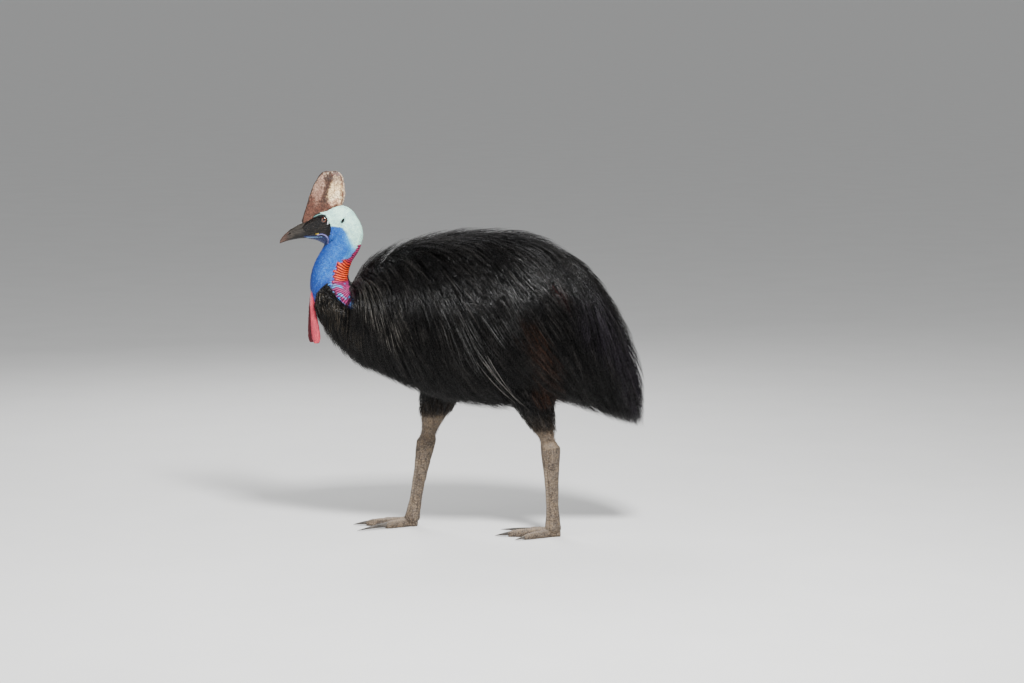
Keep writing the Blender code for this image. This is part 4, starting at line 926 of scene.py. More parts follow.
def strand_arrays(points, normals, widths):
    """Vertices and triangles of closed, tapered strands with three sides."""
    count, steps = points.shape[:2]
    tangents = unit(np.gradient(points, axis=1))
    sides = unit(np.cross(tangents, normals))
    ups = unit(np.cross(sides, tangents))
    half = widths[:, None, None] * np.array(STRAND_WIDTHS)[None, :, None] / 2
    body = points[:, :-1]
    left = body - sides[:, :-1] * half
    right = body + sides[:, :-1] * half
    ridge = body + ups[:, :-1] * half * STRAND_THICKNESS
    rings = np.stack([left, ridge, right], 2).reshape(count, -1, 3)
    verts = np.concatenate([rings, points[:, -1:]], 1)
    per_strand = verts.shape[1]
    faces = [(0, 2, 1)]
    for i in range(steps - 2):
        base = 3 * i
        for a, b in ((0, 1), (1, 2), (2, 0)):
            faces += [(base + a, base + b, base + 3 + b), (base + a, base + 3 + b, base + 3 + a)]
    base, tip = 3 * (steps - 2), per_strand - 1
    faces += [(base, base + 1, tip), (base + 1, base + 2, tip), (base + 2, base, tip)]
    faces = np.array(faces)[None] + (np.arange(count) * per_strand)[:, None, None]
    return verts.reshape(-1, 3), faces.reshape(-1, 3)


def coat_piece(name, points, normals, widths, roots, colours, material, nodes):
    """One piece of the coat. roots are the places of its strands on an unwrap of the skin."""
    verts, faces = strand_arrays(points, normals, widths)
    obj = mesh_object(name, verts, faces, material)
    per_strand = len(verts) // len(points)
    set_colour(obj, "paint", np.repeat(colours, per_strand, axis=0))
    low, high = roots.min(0), roots.max(0)
    spread = 0.01 + 0.98 * (roots - low) / np.maximum(high - low, 1e-6)
    inside = np.zeros((per_strand, 2))
    inside[:, 0] = (np.arange(per_strand) % 3) / 2
    inside[:, 1] = (np.arange(per_strand) // 3) / (per_strand // 3)
    uv = spread[:, None] + (inside - 0.5)[None] * PATCH
    layer = obj.data.uv_layers.new(name="OFBake")
    layer.data.foreach_set("uv", uv.reshape(-1, 2)[faces.ravel()].astype(np.float32).ravel())
    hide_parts(*nodes)
    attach(obj, "root")
    return obj


def even_roots(place, low, high, count, rng, densities=((0.0, 1.0),)):
    """Even random places on a surface, as along and turn, denser where densities says so."""
    rows, ring = 240, 180
    along, turn = np.meshgrid(np.linspace(low, high, rows), np.linspace(-math.pi, math.pi, ring + 1)[:-1],
                              indexing="ij")
    along, turn = along.ravel(), turn.ravel()
    step_along, step_turn = surface_frame(place, along, turn, np.full(len(along), 0.5))[:2]
    weight = np.linalg.norm(np.cross(step_along, step_turn), axis=1) * table(densities, along)
    picked = rng.choice(len(along), count, p=weight / weight.sum())
    along = along[picked] + rng.uniform(-0.5, 0.5, count) * (high - low) / rows
    turn = turn[picked] + rng.uniform(0.0, 1.0, count) * 2 * math.pi / ring
    return np.clip(along, low, high), np.clip(turn, -math.pi, math.pi)


def fit_in_box(points):
    """Shortens strands that reach out of the solids' box."""
    low, high = np.array(cad_box[0]), np.array(cad_box[1])
    margin = 0.002
    root = points[:, :1]
    over = np.maximum((points - root) / np.maximum(high - margin - root, 1e-6),
                      (root - points) / np.maximum(root - low - margin, 1e-6)).max((1, 2))
    return root + (points - root) / np.maximum(over, 1.0)[:, None, None]


def shortened(points, share):
    """Strands cut to a share of their length."""
    steps = points.shape[1] - 1
    place = np.linspace(0, 1, steps + 1)[None] * share[:, None] * steps
    low = np.minimum(place.astype(int), steps - 1)
    part = (place - low)[..., None]
    rows = np.arange(len(points))[:, None]
    return points[rows, low] * (1 - part) + points[rows, low + 1] * part


def hemmed(points, rng):
    """Cuts strands off along the ragged lower edge of the coat."""
    fray = rng.uniform(*HEM_FRAY, len(points)) + 0.006 * ripple(points[:, 0], 0.05, 21)
    share = np.ones(len(points))
    for _ in range(7):
        tips = shortened(points, share)[:, -1]
        over = table(HEM, tips[:, 0]) + fray - tips[:, 2]
        share = np.where((over > 0) & (tips[:, 0] > HEM[0][0]), np.maximum(share * 0.90, 0.15), share)
    return shortened(points, share)


def finished_strands(points, clump, pull, scatter, rng):
    """Draws strands into clumps, ruffles their tips and keeps them in the solids' box.
    Also gives each strand a lightness, alike within a clump."""
    count = len(points)
    points, leader = clumped(points, count // clump, pull, rng)
    share = np.linspace(0, 1, points.shape[1])[None, :, None]
    points = points + rng.normal(0, 1, (count, 1, 3)) * scatter * share ** 1.5
    lightness = 0.45 * rng.random(count) + 0.55 * rng.random(count)[leader]
    return fit_in_box(hemmed(points, rng)), lightness


def plumage_colours(points, lightness, rng):
    """A colour for each strand: black with random paler strands, paler ones as painted highlights where the
    key light catches the coat, and browner and redder ones of the feathers' own colour.
    """
    count = len(points)
    spot = points[:, 3]
    colours = np.array(FEATHER_BLACK) + (lightness ** 5)[:, None] * np.array(FEATHER_LIGHT)
    # Paler strands along the first four paths are painted highlights.
    for path, reach, tone, share, strength in PAINTED_SHEENS_AND_TINTS:
        near = smooth(reach, 0.25 * reach, path_distance(spot[:, 0], spot[:, 2], path))
        lit = near * (rng.random(count) < share * near) * strength * rng.uniform(0.25, 1.0, count)
        colours = colours + (np.array(tone) - colours) * lit[:, None]
    return colours


def build_body_coat(material, rng):
    """The hanging plumage of breast, back, flanks and tail, in parts on either side."""
    along, turn = even_roots(coat_place, 0.0, LAST - 0.4, BODY_STRANDS, rng, STRAND_DENSITIES)
    depth = table(ROOT_DEPTHS, along)
    root = coat_place(along, turn, depth)
    covered = bare_share(root[:, 0], root[:, 2] + rng.normal(0, 0.004, len(root))) < 0.5
    along, turn, depth, root = along[covered], turn[covered], depth[covered], root[covered]
    count = len(along)
    hanging = smooth(*BELLY_TURN, np.abs(turn))
    lengths = table(STRAND_LENGTHS, along) * rng.uniform(0.70, 1.10, count) * (1 - BELLY_SHORTENING * hanging)
    reach = 1.10 - table([(0.0, 0.30), (2.5, 0.40), (4.0, 0.85)], along) * rng.random(count) ** 1.8
    swing = np.radians(8 * ripple(root, 0.17, 1) + 3 * ripple(root, 0.06, 2) + rng.normal(0, 2.2, count))
    points, normals = trace(coat_place, body_slant, LAST, along, turn, lengths, (depth, reach), swing)
    share = np.linspace(0, 1, STRAND_STEPS + 1)[None]
    points[..., 2] -= (rng.random(count) * DROOP * hanging)[:, None] * share ** 2
    points, lightness = finished_strands(points, 6, (0.25, 0.85), 0.0022, rng)
    top = smooth(0.70, 0.95, reach)
    widths = rng.uniform(0.0020, 0.0034, count) * (1 - top) + rng.uniform(0.0010, 0.0019, count) * top
    widths *= table([(0, 0.7), (2, 0.9), (4, 1.0), (12, 1.0)], along)
    colours = plumage_colours(points, lightness, rng)
    for low, high, label in COAT_PARTS:
        for side_name, side in SIDES.items():
            inside = (along >= low) & (along < high) & (np.where(turn < 0, 1, -1) == side)
            roots = np.stack([along[inside], turn[inside]], 1)
            coat_piece(f"coat_{label}_{side_name}", points[inside], normals[inside], widths[inside], roots,
                       colours[inside], material, ["tail" if label == "tail" else "torso"])


def thigh_surface(side_name):
    """The surface of a feathered thigh: along runs from 0 at the hip to 1 at the hock."""
    hip, hock = (np.array(place) for place in LEGS[side_name][:2])

    def place(along, turn, depth):
        half_depth, half_width = spline_by_share(THIGH_GIRTH, along)
        lift = THIGH_COAT * np.asarray(depth)
        out = np.stack([-np.cos(turn) * (half_depth + lift), -np.sin(turn) * (half_width + lift),
                        np.zeros_like(half_depth)], -1)
        return hip + (hock - hip) * np.asarray(along)[:, None] + out

    return place


def spline_by_share(girths, along):
    """Half depth and half width of a limb at shares of its length."""
    shares = [row[0] for row in girths]
    rows = spline(girths, np.interp(along, shares, np.arange(len(girths))))
    return rows[..., 1], rows[..., 2]


def build_thigh_coats(material, rng):
    """Short plumage on the thighs that thins out to fuzz above the hocks."""
    for side_name in SIDES:
        place = thigh_surface(side_name)
        along, turn = even_roots(place, 0.02, 0.99, THIGH_STRANDS, rng)
        count = len(along)
        ends = THIGH_FEATHERS_END[side_name]
        fuzz = smooth(ends - 0.10, ends + 0.02, along + rng.normal(0, 0.02, count))
        lengths = (0.095 * (1 - fuzz) + 0.014 * fuzz) * rng.uniform(0.7, 1.1, count)
        lengths = np.minimum(lengths, 0.02 + 0.30 * np.maximum(ends + 0.04 - along, 0) + 0.01 * fuzz)
        reach = rng.uniform(0.2, 1.0, count) * (1 - fuzz) + rng.uniform(-0.30, 0.05, count) * fuzz
        root = place(along, turn, np.zeros(count))
        swing = np.radians(8 * ripple(root, 0.08, 3) + rng.normal(0, 5, count))
        points, normals = trace(place, lambda a, t: 0.15 * np.sin(np.abs(t)), 1.0, along, turn, lengths,
                                (THIGH_SKIN + 0 * reach, reach), swing)
        points, lightness = finished_strands(points, 6, (0.2, 0.8), 0.002, rng)
        widths = rng.uniform(0.0012, 0.0024, count) * (1 - 0.45 * fuzz)
        colours = plumage_colours(points, lightness, rng)
        brown = np.array(LEG_BROWN) * rng.uniform(0.3, 1.6, count)[:, None]
        colours = colours + (brown - colours) * (0.25 * smooth(ends - 0.35, ends - 0.05, along)
                                                 + 0.70 * fuzz)[:, None]
        roots = np.stack([along, turn], 1)
        coat_piece(f"coat_thigh_{side_name}", points, normals, widths, roots, colours, material,
                   [f"thigh_{side_name}"])


def neck_place(along, turn, depth):
    """The surface of the neck: along counts its sections, turn is 0 at the nape."""
    centre, nape, half_depth, half_width = neck_axis(along)
    lift = NECK_COAT * np.asarray(depth)
    return (centre + nape * ((half_depth + lift) * np.cos(turn))[..., None]
            - ACROSS * ((half_width + lift) * np.sin(turn))[..., None])


def build_neck_coat(material, rng):
    """Short fuzz on the neck's base, up to the edge of the bare skin."""
    along, turn = even_roots(neck_place, 7.5, NECK_LAST, NECK_STRANDS, rng)
    root = neck_place(along, turn, np.zeros(len(along)))
    edge = table(BARE_EDGE, root[:, 0])
    below = edge - root[:, 2] + rng.normal(0, 0.005, len(along))
    behind = root[:, 0] - np.interp(root[:, 2], *np.array(NAPE_EDGE).T)
    inside = (below > 0) | (behind > 0.003)
    along, turn, below, root = along[inside], turn[inside], below[inside], root[inside]
    count = len(along)
    below = np.maximum(below, 0.004)
    lengths = np.clip(0.015 + 1.0 * below, 0.015, 0.070) * rng.uniform(0.7, 1.15, count)
    reach = rng.uniform(0.35, 1.3, count) * np.clip(0.35 + below / 0.03, 0.35, 1.0)
    swing = np.radians(12 * ripple(root, 0.05, 4) + rng.normal(0, 8, count))
    points, normals = trace(neck_place, lambda a, t: 0 * a, NECK_LAST, along, turn, lengths,
                            (-0.1 + 0 * reach, reach), swing)
    points, lightness = finished_strands(points, 5, (0.1, 0.6), 0.0015, rng)
    widths = rng.uniform(0.0008, 0.0016, count)
    coat_piece("coat_neck", points, normals, widths, np.stack([along, turn], 1),
               plumage_colours(points, lightness, rng), material, ["neck_lower"])


def flank_y(x, z, depth):
    """How far out the flank lies at x and z."""
    along, turn = np.meshgrid(np.linspace(2, LAST - 1, 300), np.linspace(0.1, math.pi - 0.1, 200),
                              indexing="ij")
    places = coat_place(along.ravel(), turn.ravel(), np.full(along.size, depth))
    nearest = np.argmin((places[:, 0] - x) ** 2 + (places[:, 2] - z) ** 2)
    return abs(places[nearest, 1])


def build_quills(material):
    """The wing's bare quills, long smooth spines that lie over the coat."""
    rows = 28
    share = np.linspace(0, 1, rows)
    for side_name, side in SIDES.items():
        quills = []
        for start, end, sag in QUILLS:
            line = np.array(start) + (np.array(end) - np.array(start)) * share[:, None]
            line[:, 1] -= sag * np.sin(math.pi * share)
            reach = [flank_y(x, z, 0.55 + 0.45 * min(1.0, 4 * part)) + QUILL_LIFT * min(1.0, 3 * part)
                     for (x, z), part in zip(line, share)]
            reach = np.minimum(np.maximum.accumulate(smoothed(reach)), QUILL_REACH)
            centre = np.stack([line[:, 0], side * reach, line[:, 1]], -1)
            radius = QUILL_RADIUS * (1 - 0.80 * share ** 1.5)
            tangent = unit(np.gradient(centre, axis=0))
            out = unit(np.cross(tangent, ACROSS))
            quills.append(tube("quill", ovals(centre, out, np.cross(tangent, out), radius, radius, 10)))
        obj = joined(f"quills_{side_name}", quills)
        obj.data.materials.append(material)
        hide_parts(f"wing_{side_name}")
        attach(obj, "root")


def smoothed(values):
    """A row of numbers, each averaged with its neighbours."""
    padded = np.pad(np.asarray(values, float), 3, mode="edge")
    return np.convolve(padded, np.ones(7) / 7, mode="valid")


# Skin

def neck_axis(place):
    """Centre, direction towards the nape, half depth and half width of the neck at places along it."""
    x, z, lean, half_depth, half_width = np.moveaxis(spline(NECK_SECTIONS, place), -1, 0)
    lean = np.radians(lean)
    zero = np.zeros_like(x)
    nape = np.stack([np.cos(lean), zero, np.sin(lean)], -1)
    return np.stack([x, zero, z], -1), nape, half_depth, half_width


def neck_field(points):
    """Place along the neck, and angle from the nape, of points near it."""
    places = np.linspace(0, NECK_LAST, 420)
    centre, nape, half_depth, half_width = neck_axis(places)
    down = np.stack([nape[:, 2], 0 * places, -nape[:, 0]], -1)
    nearest = np.empty(len(points), int)
    for start in range(0, len(points), 20000):
        part = points[start:start + 20000]
        off_plane = np.abs(part @ down.T - (centre * down).sum(1))
        off_axis = np.abs(part @ nape.T - (centre * nape).sum(1)) / half_depth
        nearest[start:start + 20000] = np.argmin(off_plane + 0.05 * np.maximum(off_axis - 1.3, 0), axis=1)
    away = ((points - centre[nearest]) * nape[nearest]).sum(1) / half_depth[nearest]
    return places[nearest], np.arctan2(np.abs(points[:, 1]) / half_width[nearest], away)


def bare_share(x, z):
    """1 where the head and neck are bare, 0 where the coat grows."""
    above = z - table(BARE_EDGE, x)
    ahead = table(NAPE_EDGE, z) - x
    return smooth(-0.002, 0.002, above) * smooth(-0.002, 0.002, ahead)


def hind_folds(points, place, angle):
    """Folds of the hind neck: height from 0 to 1, the fold's number, and whether one is there."""
    bend = 0.11 * ripple(points, 0.034, 31) + 0.05 * ripple(points, 0.012, 32)
    count = table(FOLD_COUNT, place)
    count = count + bend + 0.9 * smooth(0.6, 1.3, angle) * smooth(9.5, 12.0, count)
    whole = np.floor(count)
    across = 2 * (count - whole) - 1
    reach = table(FOLD_REACH, count) * (0.90 + 0.22 * scrambled(whole * HASH_ROWS[0][0]))
    past = np.maximum(angle - reach + 0.09, 0) / 0.09
    crest = np.sqrt(np.clip(1 - across ** 2 - past ** 2, 0, 1))
    present = smooth(0.3, 1.2, count) * smooth(32.4, 31.0, count)
    return crest * present, count, smooth(reach + 0.02, reach - 0.04, angle) * present


def blue_waves(points, place, angle):
    """Blue folds in front of the coloured ones, from 0 to 1."""
    count = table(FOLD_COUNT, place) + 0.35 * ripple(points, 0.028, 33) + 0.8 * angle
    across = 2 * (count - np.floor(count)) - 1
    front = table(WAVE_REACH, count)
    there = smooth(front, front - 0.45, angle) * smooth(17.5, 21.0, count)
    return np.sqrt(np.clip(1 - across ** 2, 0, 1)) * there, there


def ear_distance(x, z):
    """Distance from the ear's opening, 1 at its edge."""
    tilt = math.radians(EAR_TILT)
    along = (x - EAR_CENTRE[0]) * math.sin(tilt) + (z - EAR_CENTRE[1]) * math.cos(tilt)
    across = (x - EAR_CENTRE[0]) * math.cos(tilt) - (z - EAR_CENTRE[1]) * math.sin(tilt)
    return np.hypot(across / EAR_SIZE[0], along / EAR_SIZE[1])


def face_relief(x, z):
    """Height of the folds of the face."""
    total = np.zeros(len(x))
    for path, radius, height in FACE_FOLDS:
        total += height * smooth(radius, 0.0, path_distance(x, z, path))
    return total


def shape_skin(obj):
    """Presses the folds, wrinkles, pebbles, ears and eye sockets into the skin of the head and neck."""
    points, normals = points_of(obj), normals_of(obj)
    x, y, z = points.T
    place, angle = neck_field(points)
    neck = smooth(1.050, 1.020, z)
    folds, count, _ = hind_folds(points, place, angle)
    waves, _ = blue_waves(points, place, angle)
    relief = neck * folds * table(FOLD_HEIGHTS, count)
    relief += neck * waves * WAVE_HEIGHT * (folds < 0.05)
    sideways = smooth(0.25, 0.60, np.abs(normals[:, 1]))
    head = smooth(0.995, 1.010, z)
    relief += head * sideways * face_relief(x, z)
    wrinkled = head * smooth(-0.462, -0.475, x)
    squeezed = points * np.array([0.35, 1.0, 1.0])
    relief += wrinkled * (0.00035 * ripple(squeezed, 0.0060, 34) + 0.00030 * ripple(points, 0.0045, 35))
    plain = 1 - np.clip(wrinkled + folds + waves, 0, 1)
    relief += plain * (0.00035 * cell_depth(points, PEBBLE_SIZE, 1.0) + 0.00030 * ripple(points, 0.011, 36))
    ear = ear_distance(x, z)
    on_ear = smooth(0.45, 0.75, np.abs(normals[:, 1])) * (np.abs(y) > 0.015)
    relief += on_ear * (0.0010 * np.exp(-((ear - 1.35) / 0.28) ** 2) - 0.0065 * smooth(1.05, 0.55, ear))
    points = points + normals * relief[:, None]
    centre_x, centre_y, centre_z = EYE_CENTRE
    off_x, off_z = points[:, 0] - centre_x, points[:, 2] - centre_z
    opening = np.hypot(off_x / EYE_OPENING[0], off_z / EYE_OPENING[1])
    ball = centre_y + np.sqrt(np.maximum(EYE_RADIUS ** 2 - off_x ** 2 - off_z ** 2, 0))
    sunk = np.minimum(np.abs(points[:, 1]), ball - 0.0022)
    share = smooth(0.97, 0.84, opening) * (np.abs(points[:, 1]) > 0.010)
    points[:, 1] += (np.sign(points[:, 1]) * sunk - points[:, 1]) * share
    set_points(obj, points)


def eyelids(side):
    """A band of skin round the eye's opening, thicker above."""
    turn = np.linspace(0, 2 * math.pi, 72, endpoint=False)
    centre_x, centre_y, centre_z = EYE_CENTRE
    off_x, off_z = EYE_OPENING[0] * np.cos(turn), EYE_OPENING[1] * np.sin(turn)
    out = centre_y + np.sqrt(EYE_RADIUS ** 2 - off_x ** 2 - off_z ** 2)
    centre = np.stack([centre_x + off_x, side * out, centre_z + off_z], -1)
    radius = LID_RADIUS[0] + (LID_RADIUS[1] - LID_RADIUS[0]) * smooth(-0.3, 0.8, np.sin(turn))
    outward = unit(np.stack([off_x, 0 * off_x, off_z], -1))
    return hoop("lids", ovals(centre, outward, np.tile(ACROSS, (72, 1)), radius * 1.25, radius, 14))


def neck_skin():
    """The neck and the back of the head."""
    rows = 120
    centre, nape, half_depth, half_width = neck_axis(np.linspace(0, NECK_LAST, rows))
    return tube("neck", ovals(centre, nape, np.tile(ACROSS, (rows, 1)), half_depth, half_width, 96))


def head_skin():
    """The head behind the bill."""
    x, top, bottom, half_width = np.moveaxis(
        spline(HEAD_SECTIONS, np.linspace(0, len(HEAD_SECTIONS) - 1, 80)), -1, 0)
    centre = np.stack([x, 0 * x, (top + bottom) / 2], -1)
    rings = ovals(centre, np.tile(UP, (80, 1)), np.tile(ACROSS, (80, 1)), (top - bottom) / 2, half_width, 72)
    return tube("head", rings)


def wattle_skin(side):
    """One of the two wattles on the throat."""
    z, x, half_depth, half_width, out = np.moveaxis(spline(WATTLE_SECTIONS, np.linspace(0, 6, 60)), -1, 0)
    share = (z[0] - z) / (z[0] - z[-1])
    centre = np.stack([x - WATTLE_SPREAD * side * share, side * out, z], -1)
    return tube("wattle", ovals(centre, np.tile(AHEAD, (60, 1)), np.tile(ACROSS, (60, 1)), half_depth,
                                half_width, 32))


def limb(start, end, girths, rows, count):
    """A tapered limb with level sections."""
    start, end = np.array(start), np.array(end)
    share, half_depth, half_width = np.moveaxis(spline(girths, np.linspace(0, len(girths) - 1, rows)), -1, 0)
    centre = start + (end - start) * share[:, None]
    aheads, sides = np.tile(AHEAD, (rows, 1)), np.tile(ACROSS, (rows, 1))
    return ovals(centre, aheads, sides, half_depth, half_width, count)


def toe_frame(side_name, toe):
    """The foot's centre, and the directions along and across a toe."""
    foot = np.array(LEGS[side_name][2])
    turn = math.radians(TOES[toe][0])
    ahead = np.array([-math.cos(turn), SIDES[side_name] * math.sin(turn), 0.0])
    return foot, ahead, np.array([-ahead[1], ahead[0], 0.0])


def toe_skin(side_name, toe):
    """A toe, flat below."""
    foot, ahead, across = toe_frame(side_name, toe)
    sections = TOES[toe][1]
    rows = 40
    places = np.linspace(0, len(sections) - 1, rows)
    distance, half_width, height = np.moveaxis(spline(sections, places), -1, 0)
    centre = foot + ahead * distance[:, None] + UP * (height * 0.42)[:, None]
    rings = ovals(centre, np.tile(UP, (rows, 1)), np.tile(across, (rows, 1)), height * 0.58, half_width, 40)
    rings[..., 2] = np.maximum(rings[..., 2], 0.0)
    return tube("toe", rings)


def scale_relief(points, side_name):
    """Scales of a shank and foot: height from 0 to 1, and whether each point is on a front plate."""
    x, y, z = points.T
    hock, foot = (np.array(place) for place in LEGS[side_name][1:])
    share = np.clip((hock[2] - z) / (hock[2] - foot[2]), 0, 1)
    axis = hock + (foot - hock) * share[:, None]
    front = np.arctan2(np.abs(y - axis[:, 1]), -(x - axis[:, 0]))
    shank = smooth(0.040, 0.060, z)
    plate = smooth(1.00, 0.85, front) * smooth(0.255, 0.235, z) * shank
    step = (z + 0.004 * np.cos(front)) / SHANK_PLATE
    height = plate * plate_profile(step - np.floor(step)) * smooth(0.0, 0.14, np.abs(front - 0.92))
    for toe in TOES:
        _, ahead, across = toe_frame(side_name, toe)
        along, aside = (points - foot) @ ahead, (points - foot) @ across
        sections = TOES[toe][1]
        half_width = np.interp(along, [row[0] for row in sections], [row[1] for row in sections])
        tall = np.interp(along, [row[0] for row in sections], [row[2] for row in sections])
        top = smooth(0.80, 0.66, np.abs(aside) / half_width) * smooth(0.50, 0.62, z / tall)
        on_toe = top * smooth(0.020, 0.030, along) * (1 - shank) * (1 - np.clip(plate, 0, 1))
        step = along / TOE_PLATE
        height = height + on_toe * plate_profile(step - np.floor(step))
        plate = np.maximum(plate, on_toe)
    cells = cell_depth(points, SCALE_SIZE, 2.0)
    return height + (1 - np.clip(plate, 0, 1)) * 0.8 * smooth(0.0, 0.45, cells), plate


def plate_profile(part):
    """Height across one plate, which laps over the next: part runs from 0 at its free edge to 1."""
    return smooth(0.0, 0.14, part) * (1.0 - 0.45 * part) * smooth(1.0, 0.93, part)


def foot_skin(side_name):
    """A shank with its toes, covered with scales."""
    _, hock, foot = LEGS[side_name]
    shank = tube("shank", limb(hock, foot, SHANK_GIRTH, 60, 48))
    obj = remeshed("foot", [shank] + [toe_skin(side_name, toe) for toe in TOES], FOOT_VOXEL, 2)
    points = points_of(obj)
    height, _ = scale_relief(points, side_name)
    lift = (height * SCALE_HEIGHT * smooth(0.001, 0.006, points[:, 2]))[:, None] * normals_of(obj)
    points = points + lift + normals_of(obj) * (0.0006 * ripple(points, 0.018, 41))[:, None]
    points[:, 2] = np.maximum(points[:, 2], 0.0)
    set_points(obj, points)
    return obj


class Layers:
    """Colours of points, built up layer by layer."""

    def __init__(self, count, base):
        self.colours = np.tile(np.array(base), (count, 1))

    def add(self, share, colour):
        """Mixes a colour in, by the share from 0 to 1 that each point takes of it."""
        self.colours = self.colours + (np.array(colour) - self.colours) * np.clip(share, 0, 1)[:, None]


def paint_neck(layers, places, place, angle, bare, wander):
    """Pebbled blue skin under the pale green of the head, deepened towards the throat by painted shade, with
    painted shade between the pebbles and painted highlights on them.
    """
    x, _, z = places.T
    cells = cell_depth(places, PEBBLE_SIZE, 1.0)
    layers.add(bare, SKY)
    # Cobalt towards the throat and down its lower front is painted shade, where the neck turns from the
    # light.
    layers.add(bare * 0.85 * smooth(1.7, 2.9, angle), COBALT)
    layers.add(bare * 0.55 * smooth(0.93, 0.86, z) * smooth(1.3, 2.0, angle), COBALT)
    layers.add(bare * 0.70 * smooth(1.25, 0.75, angle) * smooth(8.4, 6.6, place), PALE_SKY)
    # Painted shade in the grooves between the raised pebbles, and painted highlights on their middles.
    layers.add(bare * 0.55 * smooth(0.42, 0.05, cells), COBALT)
    layers.add(bare * 0.20 * smooth(0.55, 0.95, cells), PEBBLE_HIGHLIGHT_BLUE)
    edge = table(MINT_EDGE, x)
    layers.add(bare * smooth(edge - 0.055, edge + 0.005, z + 2 * wander) * smooth(1.8, 1.3, angle), CHEEK)
    soft = 0.0025 + 0.020 * smooth(-0.425, -0.395, x)
    layers.add(bare * smooth(edge - soft, edge + soft, z + wander), MINT)


def paint_folds(layers, places, place, angle, bare):
    """Magenta pleats, orange folds and violet ones down the hind neck, and blue ones in front of them, with
    painted highlights on their crests and painted shade in the gaps between them.
    """
    z = places[:, 2]
    folds, count, here = hind_folds(places, place, angle)
    neck = bare * smooth(1.050, 1.030, z)
    waves, waving = blue_waves(places, place, angle)
    # Painted highlights on the blue folds' crests, painted shade in their valleys.
    layers.add(neck * waving * 0.90 * smooth(0.86, 1.00, waves), PALE_SKY)
    layers.add(neck * waving * 0.95 * smooth(0.92, 0.62, waves), COBALT)
    layers.add(neck * here, MAGENTA)
    layers.add(neck * here * smooth(9.0, 11.5, count), RED)
    fiery = smooth(11.0, 12.6, count) * smooth(20.5, 18.5, count)
    layers.add(neck * here * fiery, ORANGE)
    # Painted highlights on the orange folds' crests.
    layers.add(neck * here * fiery * 0.80 * smooth(0.94, 1.0, folds), ORANGE_HIGHLIGHT)
    layers.add(neck * here * smooth(18.8, 21.5, count), PURPLE)
    # Painted highlights on the violet folds' crests.
    layers.add(neck * here * smooth(19.5, 22.0, count) * smooth(0.75, 1.0, folds) * 0.6, PURPLE_HIGHLIGHT)
    patches = smooth(20.0, 22.0, count) * smooth(0.2, 0.6, ripple(places, 0.022, 53))
    layers.add(neck * here * patches, PALE_SKY)
    # Painted highlights on the magenta pleats' crests.
    pleats = (1 - fiery) * smooth(11, 9, count)
    layers.add(neck * here * pleats * 0.5 * smooth(0.75, 1.0, folds), MAGENTA_HIGHLIGHT)
    # Painted shade in the gaps between the folds.
    layers.add(neck * here * 0.95 * smooth(0.94, 0.66, folds), FOLD_SHADE)


def paint_face(layers, places, bare, wander):
    """The black face with painted highlights on its wrinkles, its lines of colour, and the ear, whose opening
    is painted black as shade. Returns where the face is black.
    """
    x, y, z = places.T
    rear = table(MASK_REAR, z)
    face = smooth(0.998, 1.004, z)
    mask = face * smooth(0.0014, -0.0014, x - rear + wander)
    layers.add(mask, MASK)
    relief = face_relief(x, z)
    fine = ripple(places * np.array([0.35, 1.0, 1.0]), 0.0060, 34) + ripple(places, 0.0045, 35)
    # Painted highlights on the crests of the lore's wrinkles and folds.
    lore = mask * smooth(1.040, 1.060, z) * smooth(1.118, 1.100, z)
    layers.add(lore * 0.75 * smooth(0.2, 1.3, fine + 500 * relief) * smooth(-0.470, -0.485, x), MASK_HIGHLIGHT)
    chin = mask * smooth(1.050, 1.042, z)
    layers.add(chin * 0.8, FACE_BLUE)
    for path, reach, colour, share in FACE_LINES:
        near = smooth(reach, 0.3 * reach, path_distance(x, z, path))
        layers.add(face * (np.abs(y) > 0.010) * share * near, colour)
    ear = ear_distance(x, z)
    layers.add(bare * 0.75 * smooth(2.6, 1.1, ear) * smooth(-0.3, 0.9, ripple(places, 0.006, 54)), EAR_GREY)
    # The ear's opening painted black as shade.
    layers.add(bare * smooth(1.20, 0.85, ear), BLACK_SKIN)
    return mask


def paint_wattles(layers, places):
    """Pinkish red wattles with a pale edge in front, above; the right one is painted dark maroon as shade."""
    x, y, z = places.T
    for side_name, side in SIDES.items():
        z_row, x_row, half_depth, half_width, out = np.array(WATTLE_SECTIONS)[::-1].T
        down = (z_row[-1] - z) / (z_row[-1] - z_row[0])
        centre_x = np.interp(z, z_row, x_row) - WATTLE_SPREAD * side * down
        ahead = (x - centre_x) / (np.interp(z, z_row, half_depth) + 0.003)
        inside = np.hypot(ahead,
                          (y - side * np.interp(z, z_row, out)) / (np.interp(z, z_row, half_width) + 0.003))
        wattle = smooth(1.30, 1.05, inside) * smooth(0.862, 0.846, z) * (y * side > 0)
        # The right wattle takes a dark colour that is painted shade.
        layers.add(wattle, WATTLE_COLOURS_RIGHT_SHADED[side_name])
        pale = smooth(0.40, 0.75, -ahead) * smooth(0.79, 0.82, z)
        layers.add(wattle * 0.7 * pale, WATTLE_EDGE)
        layers.add(wattle * 0.35 * smooth(0.1, 0.9, ripple(places * np.array([1, 1, 0.3]), 0.008, 55)),
              np.array(WATTLE_COLOURS_RIGHT_SHADED[side_name]) * 0.45)


